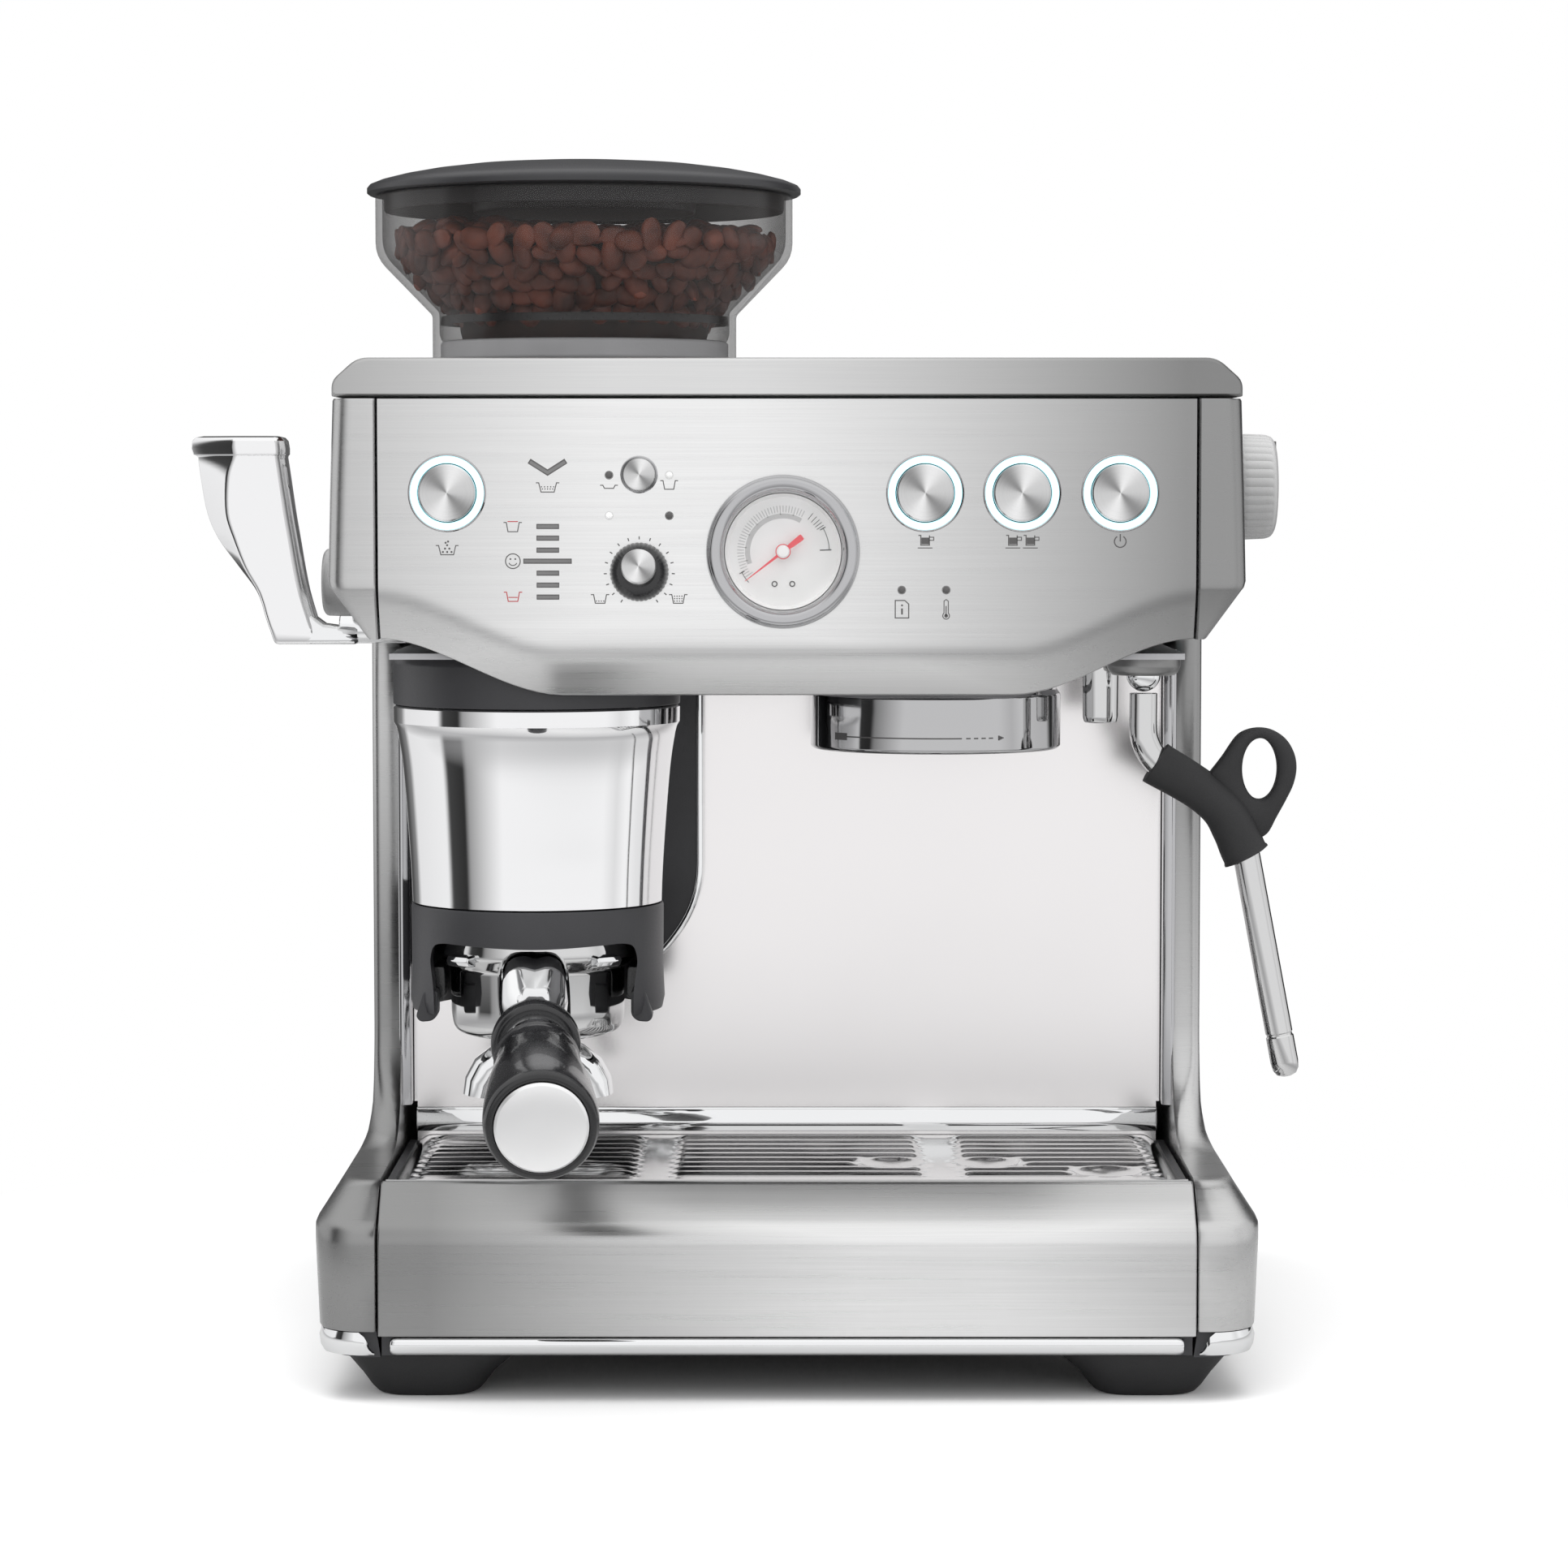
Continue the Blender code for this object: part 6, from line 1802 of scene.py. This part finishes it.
def push_buttons():
    """Spun steel caps, each in a ring of light with a fine dark outline."""
    for name, x in BUTTONS.items():
        z = BUTTON_ROW
        # The cap's colour carries painted reflection fans
        finish = spun_metal_painted_fans(f"spun_{name}", (0.74, 0.74, 0.74), at(x, FRONT, z))
        cap = [
            (0.0, 0.0019), (0.007, 0.0019), (0.0088, 0.0018), (0.0093, 0.0014), (0.0094, 0.001),
            (0.0094, -0.008), (0.0, -0.008)
        ]
        mesh = lathe("cap", cap, at(x, FRONT, z), TO_FRONT, 96)
        add_piece(f"cap_{name}", mesh, finish, f"press_{name}", [f"button_{name}"], 30)
        place = at(x, FRONT, z)
        glow = [(0.01, 0.0003), (0.0118, 0.0003), (0.0118, -0.0012), (0.01, -0.0012)]
        add_piece(
            f"ring_{name}", lathe("ring", glow, place, TO_FRONT, 96, ring=True), GLOW, "case",
            ["light_guide"] if name == "dose" else ()
        )
        for part, low, high in (("inner", 0.0097, 0.01), ("outer", 0.0118, 0.0121)):
            edge = [(low, 0.00032), (high, 0.00032), (high, -0.0012), (low, -0.0012)]
            add_piece(
                f"ring_{part}_{name}", lathe("edge", edge, place, TO_FRONT, 96, ring=True), GLOW_EDGE, "case",
            )
        outline = [(0.0121, 0.0004), (0.0124, 0.0006), (0.0127, 0.0003), (0.0127, -0.001), (0.0121, -0.001)]
        add_piece(
            f"ring_outline_{name}", lathe("outline", outline, place, TO_FRONT, 96, ring=True), BEZEL, "case",
        )
    x, z = FILTER_BUTTON
    cap = [
        (0.0, 0.0019), (0.0042, 0.0019), (0.005, 0.0017), (0.0053, 0.0012), (0.0053, -0.007), (0.0, -0.007)
    ]
    # The cap's colour carries painted reflection fans
    finish = spun_metal_painted_fans("spun_filter", (0.74, 0.74, 0.74), at(x, FRONT, z))
    add_piece(
        "cap_filter", lathe("cap", cap, at(x, FRONT, z), TO_FRONT, 72), finish, "press_filter",
        ["button_filter"], 30
    )
    rim = [(0.0054, 0.0), (0.0054, 0.0004), (0.0058, 0.0006), (0.0061, 0.0003), (0.0061, 0.0)]
    add_piece(
        "rim_filter", lathe("rim", rim, at(x, FRONT, z), TO_FRONT, 72, ring=True), BEZEL, "case",
    )


def dose_knob():
    """The dose dial: a dark skirt and a spun cap set a little above its middle."""
    x, z = DOSE_DIAL
    skirt = [
        (0.0, 0.0066), (0.0052, 0.0066), (0.007, 0.0062), (0.0084, 0.0048), (0.0092, 0.0028),
        (0.0096, 0.0008), (0.0094, 0.0006), (0.0, 0.0006)
    ]
    mesh = lathe("skirt", skirt, at(x, FRONT, z), TO_FRONT, 120)
    middle = at(x, FRONT, z)
    for vert in mesh.vertices:
        offset = vert.co - middle
        radius = math.hypot(offset.x, offset.z)
        if radius > 0.008:
            groove = 0.00022 * max(0.0, math.cos(40 * math.atan2(offset.z, offset.x)))
            share = 1 - groove / radius
            vert.co = middle + Vector((offset.x * share, offset.y, offset.z * share))
    add_piece("dose_skirt", mesh, BLACK, "dose_knob", ["dose_dial"], 30)
    rows = []
    for out, radius, up in (
        (0.005, 0.0058, 0.0004), (0.0094, 0.0057, 0.0019), (0.0099, 0.0054, 0.0021), (0.01, 0.005, 0.0021)
    ):
        rows.append(
            [
                at(
                    x + radius * math.cos(a), FRONT - out, z + up + radius * math.sin(a)
                ) for a in (2 * math.pi * k / 72 for k in range(72))
            ]
        )
    # The cap's colour carries painted reflection fans
    finish = spun_metal_painted_fans("spun_dose", (0.76, 0.76, 0.76), at(x, FRONT, z + 0.0021))
    add_piece("dose_cap", loft("cap", rows), finish, "dose_knob", (), 25)
    stem = [(0.0, 0.001), (0.003, 0.001), (0.003, -0.0068), (0.0, -0.0068)]
    add_piece(
        "dose_stem", lathe("stem", stem, at(x, FRONT, z), TO_FRONT, 32), BLACK, "dose_knob",
    )


def pressure_gauge():
    """The gauge: a chrome bezel with an inner cone, a printed face, a red needle and its glass."""
    x, z = GAUGE
    place = at(x, FRONT, z)
    bezel = [
        (0.025, 0.0003), (0.0251, 0.0012), (0.0246, 0.0024), (0.0243, 0.0026), (0.0241, 0.004),
        (0.0228, 0.0047), (0.0208, 0.0042), (0.0199, 0.003), (0.0193, 0.0006), (0.019, -0.0036),
        (0.019, -0.0068), (0.0212, -0.0068), (0.0212, 0.0003),
    ]
    corners = [
        0.0003, 0.0004, 0.0003, 0.0003, 0.0008, 0.0012, 0.0008, 0.0008, 0.0004, 0.0002, 0.0002, 0.0002, 0.0002
    ]
    mesh = lathe(
        "bezel", [tuple(p) for p in rounded(bezel, corners, True, 4)], place, TO_FRONT, 160, ring=True
    )
    add_piece("gauge_bezel_ring", mesh, BEZEL, "case", ["gauge_bezel"], 30)
    cone = [(0.0189, -0.0012), (0.0178, -0.0046), (0.0184, -0.0046), (0.019, -0.0012)]
    add_piece(
        "gauge_inner_cone", lathe("cone", cone, place, TO_FRONT, 128, ring=True), DIAL_WHITE, "case",
    )
    plate = [(0.0, -0.0044), (0.0188, -0.0044), (0.0188, -0.0056), (0.0, -0.0056)]
    add_piece(
        "gauge_plate", lathe("plate", plate, place, TO_FRONT, 128), DIAL_WHITE, "case",
        ["gauge_face"]
    )

    marks, pale = bmesh.new(), bmesh.new()

    def bar_into(shape, degrees, inner, outer, width):
        a = math.radians(degrees)
        way, across = Vector((math.cos(a), math.sin(a))), Vector((-math.sin(a), math.cos(a))) * width / 2
        rows = []
        for r in (inner, outer):
            ends = (way * r - across, way * r + across)
            rows.append(
                [
                    place + Vector((end.x, y, end.y)) for y in (0.0043, 0.0045) for end in (
                        ends if y < 0.0044 else reversed(ends)
                    )
                ]
            )
        skin(shape, rows)

    def arc_into(shape, start, end, inner, outer):
        rows = []
        for k in range(31):
            a = math.radians(between(start, end, k / 30))
            corners = [(inner, 0.0043), (outer, 0.0043), (outer, 0.0045), (inner, 0.0045)]
            rows.append([place + Vector((r * math.cos(a), y, r * math.sin(a))) for r, y in corners])
        skin(shape, rows)

    for k in range(43):
        degrees = 214 - k * 4
        if degrees > 60:
            bar_into(pale, degrees, 0.0128 if k % 5 else 0.012, 0.015, 0.0003)
    arc_into(pale, 200, 60, 0.0108, 0.0124)
    for degrees in (52, 46, 41, 37, 33):
        bar_into(marks, degrees, 0.0132, 0.0158, 0.00022)
    arc_into(marks, 30, 2, 0.015, 0.01522)
    bar_into(marks, 30, 0.014, 0.016, 0.00034)
    bar_into(marks, 2, 0.012, 0.0158, 0.0004)
    arc_into(marks, 207, 222, 0.015, 0.01522)
    bar_into(marks, 207, 0.0142, 0.016, 0.00034)
    for a, b in ((-0.0028, -0.0106), (0.003, -0.0106)):
        rows = [(0.0006, 0.0), (0.001, 0.0), (0.001, 0.00014), (0.0006, 0.00014)]
        lathe_into(marks, rows, at(x + a, FRONT + 0.0044, z + b), TO_FRONT, 24, True)
    add_piece("gauge_marks", finished(marks, "marks"), INK, "case")
    add_piece("gauge_scale", finished(pale, "scale"), PALE_PRINT, "case")

    lean = math.radians(217.8)
    way, across = Vector((math.cos(lean), 0, math.sin(lean))), Vector((-math.sin(lean), 0, math.cos(lean)))
    shape = bmesh.new()
    for outline in (
        [
            (-0.008, 0.00085), (-0.0074, 0.00105), (-0.0036, 0.00085), (-0.0018, 0.0006), (0.006, 0.00034),
            (0.0157, 0.0001)
        ],
    ):
        rows = []
        for y in (0.0017, 0.0022):
            rows.append(
                [place + way * r + across * w + Vector((0, y, 0)) for r, w in outline] + [
                    place + way * r - across * w + Vector((0, y, 0)) for r, w in reversed(outline)
                ]
            )
        skin(shape, rows)
    add_piece("needle_blade", finished(shape, "blade"), NEEDLE, "needle", ["gauge_needle"])
    hub = [
        (0.0, -0.001), (0.0016, -0.0011), (0.0021, -0.0015), (0.0022, -0.002), (0.0022, -0.003), (0.0, -0.003)
    ]
    add_piece("needle_hub_cap", lathe("hub", hub, place, TO_FRONT, 48), DIAL_WHITE, "needle")
    ring = [(0.0022, -0.0018), (0.0025, -0.0019), (0.0025, -0.0024), (0.0022, -0.0024)]
    add_piece(
        "needle_hub_ring", lathe("hub_ring", ring, place, TO_FRONT, 48, ring=True), NEEDLE, "needle",
    )
    glass = [(0.0, 0.003), (0.01, 0.0028), (0.018, 0.0022), (0.0194, 0.002), (0.0194, 0.0012), (0.0, 0.0014)]
    add_piece(
        "gauge_lens", lathe("lens", glass, place, TO_FRONT, 96), GLASS, "case", ["gauge_glass"]
    )


# The rear: water tank with its lid, and the rear of the base


def rear_tank():
    half, front, rear, top = 0.129, 0.0975, 0.154, 0.33
    corners = [(-half, front), (half, front), (half, rear), (-half, rear)]
    wall = slab("tank_wall", rounded(corners, 0.008, True, 6), "xy", 0.0588, top)
    tank = add_piece("tank_shell", wall, TANK_SMOKE, "tank", ["water_tank"], 40)
    inner = [
        (x * 0.978, between(front + 0.0026, rear - 0.0026, (y - front) / (rear - front))) for x, y in corners
    ]
    subtract(
        tank,
        hidden_tool(
            "tank_hollow", slab("hollow", rounded(inner, 0.006, True, 6), "xy", 0.0618, top + 0.01), "tank"
        )
    )
    soften(tank, 0.0008, 2)

    lid_low, lid_high = top + 0.0004, 0.344
    lid = add_piece(
        "tank_lid_cap", slab("lid", rounded(corners, 0.008, True, 6), "xy", lid_low, lid_high), CHARCOAL,
        "tank", ["tank_lid"], 40
    )
    grip = [(-0.045, front + 0.012), (0.045, front + 0.012), (0.045, rear - 0.012), (-0.045, rear - 0.012)]
    subtract(
        lid,
        hidden_tool("lid_grip_space", slab("grip", rounded(grip, 0.007, True, 6), "xy", 0.3365, 0.36), "tank")
    )
    soften(lid, 0.0014, 3)
    bail = rounded(
        [(-0.04, 0.118, 0.34), (-0.04, 0.133, 0.34), (0.04, 0.133, 0.34), (0.04, 0.118, 0.34)], 0.005
    )
    line = smooth_line([at(*point) for point in bail], 64)
    add_piece("tank_bail", sweep("bail", line, [0.0026] * len(line), 16), BLACK, "tank")

    # Ribs and level bars moulded on the tank's rear wall
    shape = bmesh.new()
    for x in (-0.108, -0.098, 0.098, 0.108):
        box_into(shape, at(x - 0.0014, rear - 0.0004, 0.07), at(x + 0.0014, rear + 0.0009, 0.318))
    for k in range(9):
        wide = 0.013 if k % 4 == 0 else 0.007
        z = 0.1 + 0.024 * k
        box_into(shape, at(0.06, rear - 0.0004, z), at(0.06 + wide, rear + 0.0005, z + 0.0012))
    ribs = add_piece("tank_ribs", finished(shape, "ribs"), TANK_SMOKE, "tank")
    soften(ribs, 0.0003, 1)


def rear_base():
    """Vent fins, a blank plate and a blind cord inlet on the rear of the base."""
    shape = bmesh.new()
    for k in range(18):
        x = -0.1 + 0.005 * k
        box_into(shape, at(x, 0.1535, 0.024), at(x + 0.0026, 0.1562, 0.05))
    fins = add_piece("rear_fins", finished(shape, "fins"), CHARCOAL, "case")
    soften(fins, 0.0005, 2)
    plate = [(0.01, 0.026), (0.056, 0.026), (0.056, 0.048), (0.01, 0.048)]
    blank = add_piece(
        "blank_plate", slab("plate", rounded(plate, 0.002, True, 4), "xz", 0.1538, 0.1553), SATIN, "case",
    )
    soften(blank, 0.0002, 1)
    inlet = [
        (0.004, 0.0008), (0.004, 0.0046), (0.0052, 0.006), (0.0074, 0.0058), (0.0088, 0.004), (0.0096, 0.001),
        (0.0096, -0.0014), (0.004, -0.0014)
    ]
    mesh = lathe("inlet", inlet, at(0.085, 0.1545, 0.037), TO_FRONT * -1, 64, ring=True)
    add_piece("cord_inlet", mesh, RUBBER, "case", (), 30)
    core = [(0.0, 0.0016), (0.0042, 0.0016), (0.0042, -0.001), (0.0, -0.001)]
    add_piece(
        "cord_inlet_core", lathe("core", core, at(0.085, 0.1545, 0.037), TO_FRONT * -1, 32), BLACK, "case",
    )


finish_cad_nodes()
studio()
head_front()
head_cheeks()
top_cover()
for side in ("left", "right"):
    side_shell(side)
    corner_insert(side)
tray_front()
tray_rail()
grate()
foot_shoe("foot_front_left", "left", True)
foot_shoe("foot_front_right", "right", True)
foot_shoe("foot_rear_left", "left", False)
foot_shoe("foot_rear_right", "right", False)
hopper_shell()
hopper_cap()
bean_heap()
tamp_shells()
cradle()
back_plate()
portafilter_bowl()
portafilter_handle()
spouts()
group_ring()
water_spout()
steam_pipe()
lever()
grind_wheel()
steam_knob()
push_buttons()
dose_knob()
pressure_gauge()
printed_marks()
rear_tank()
rear_base()
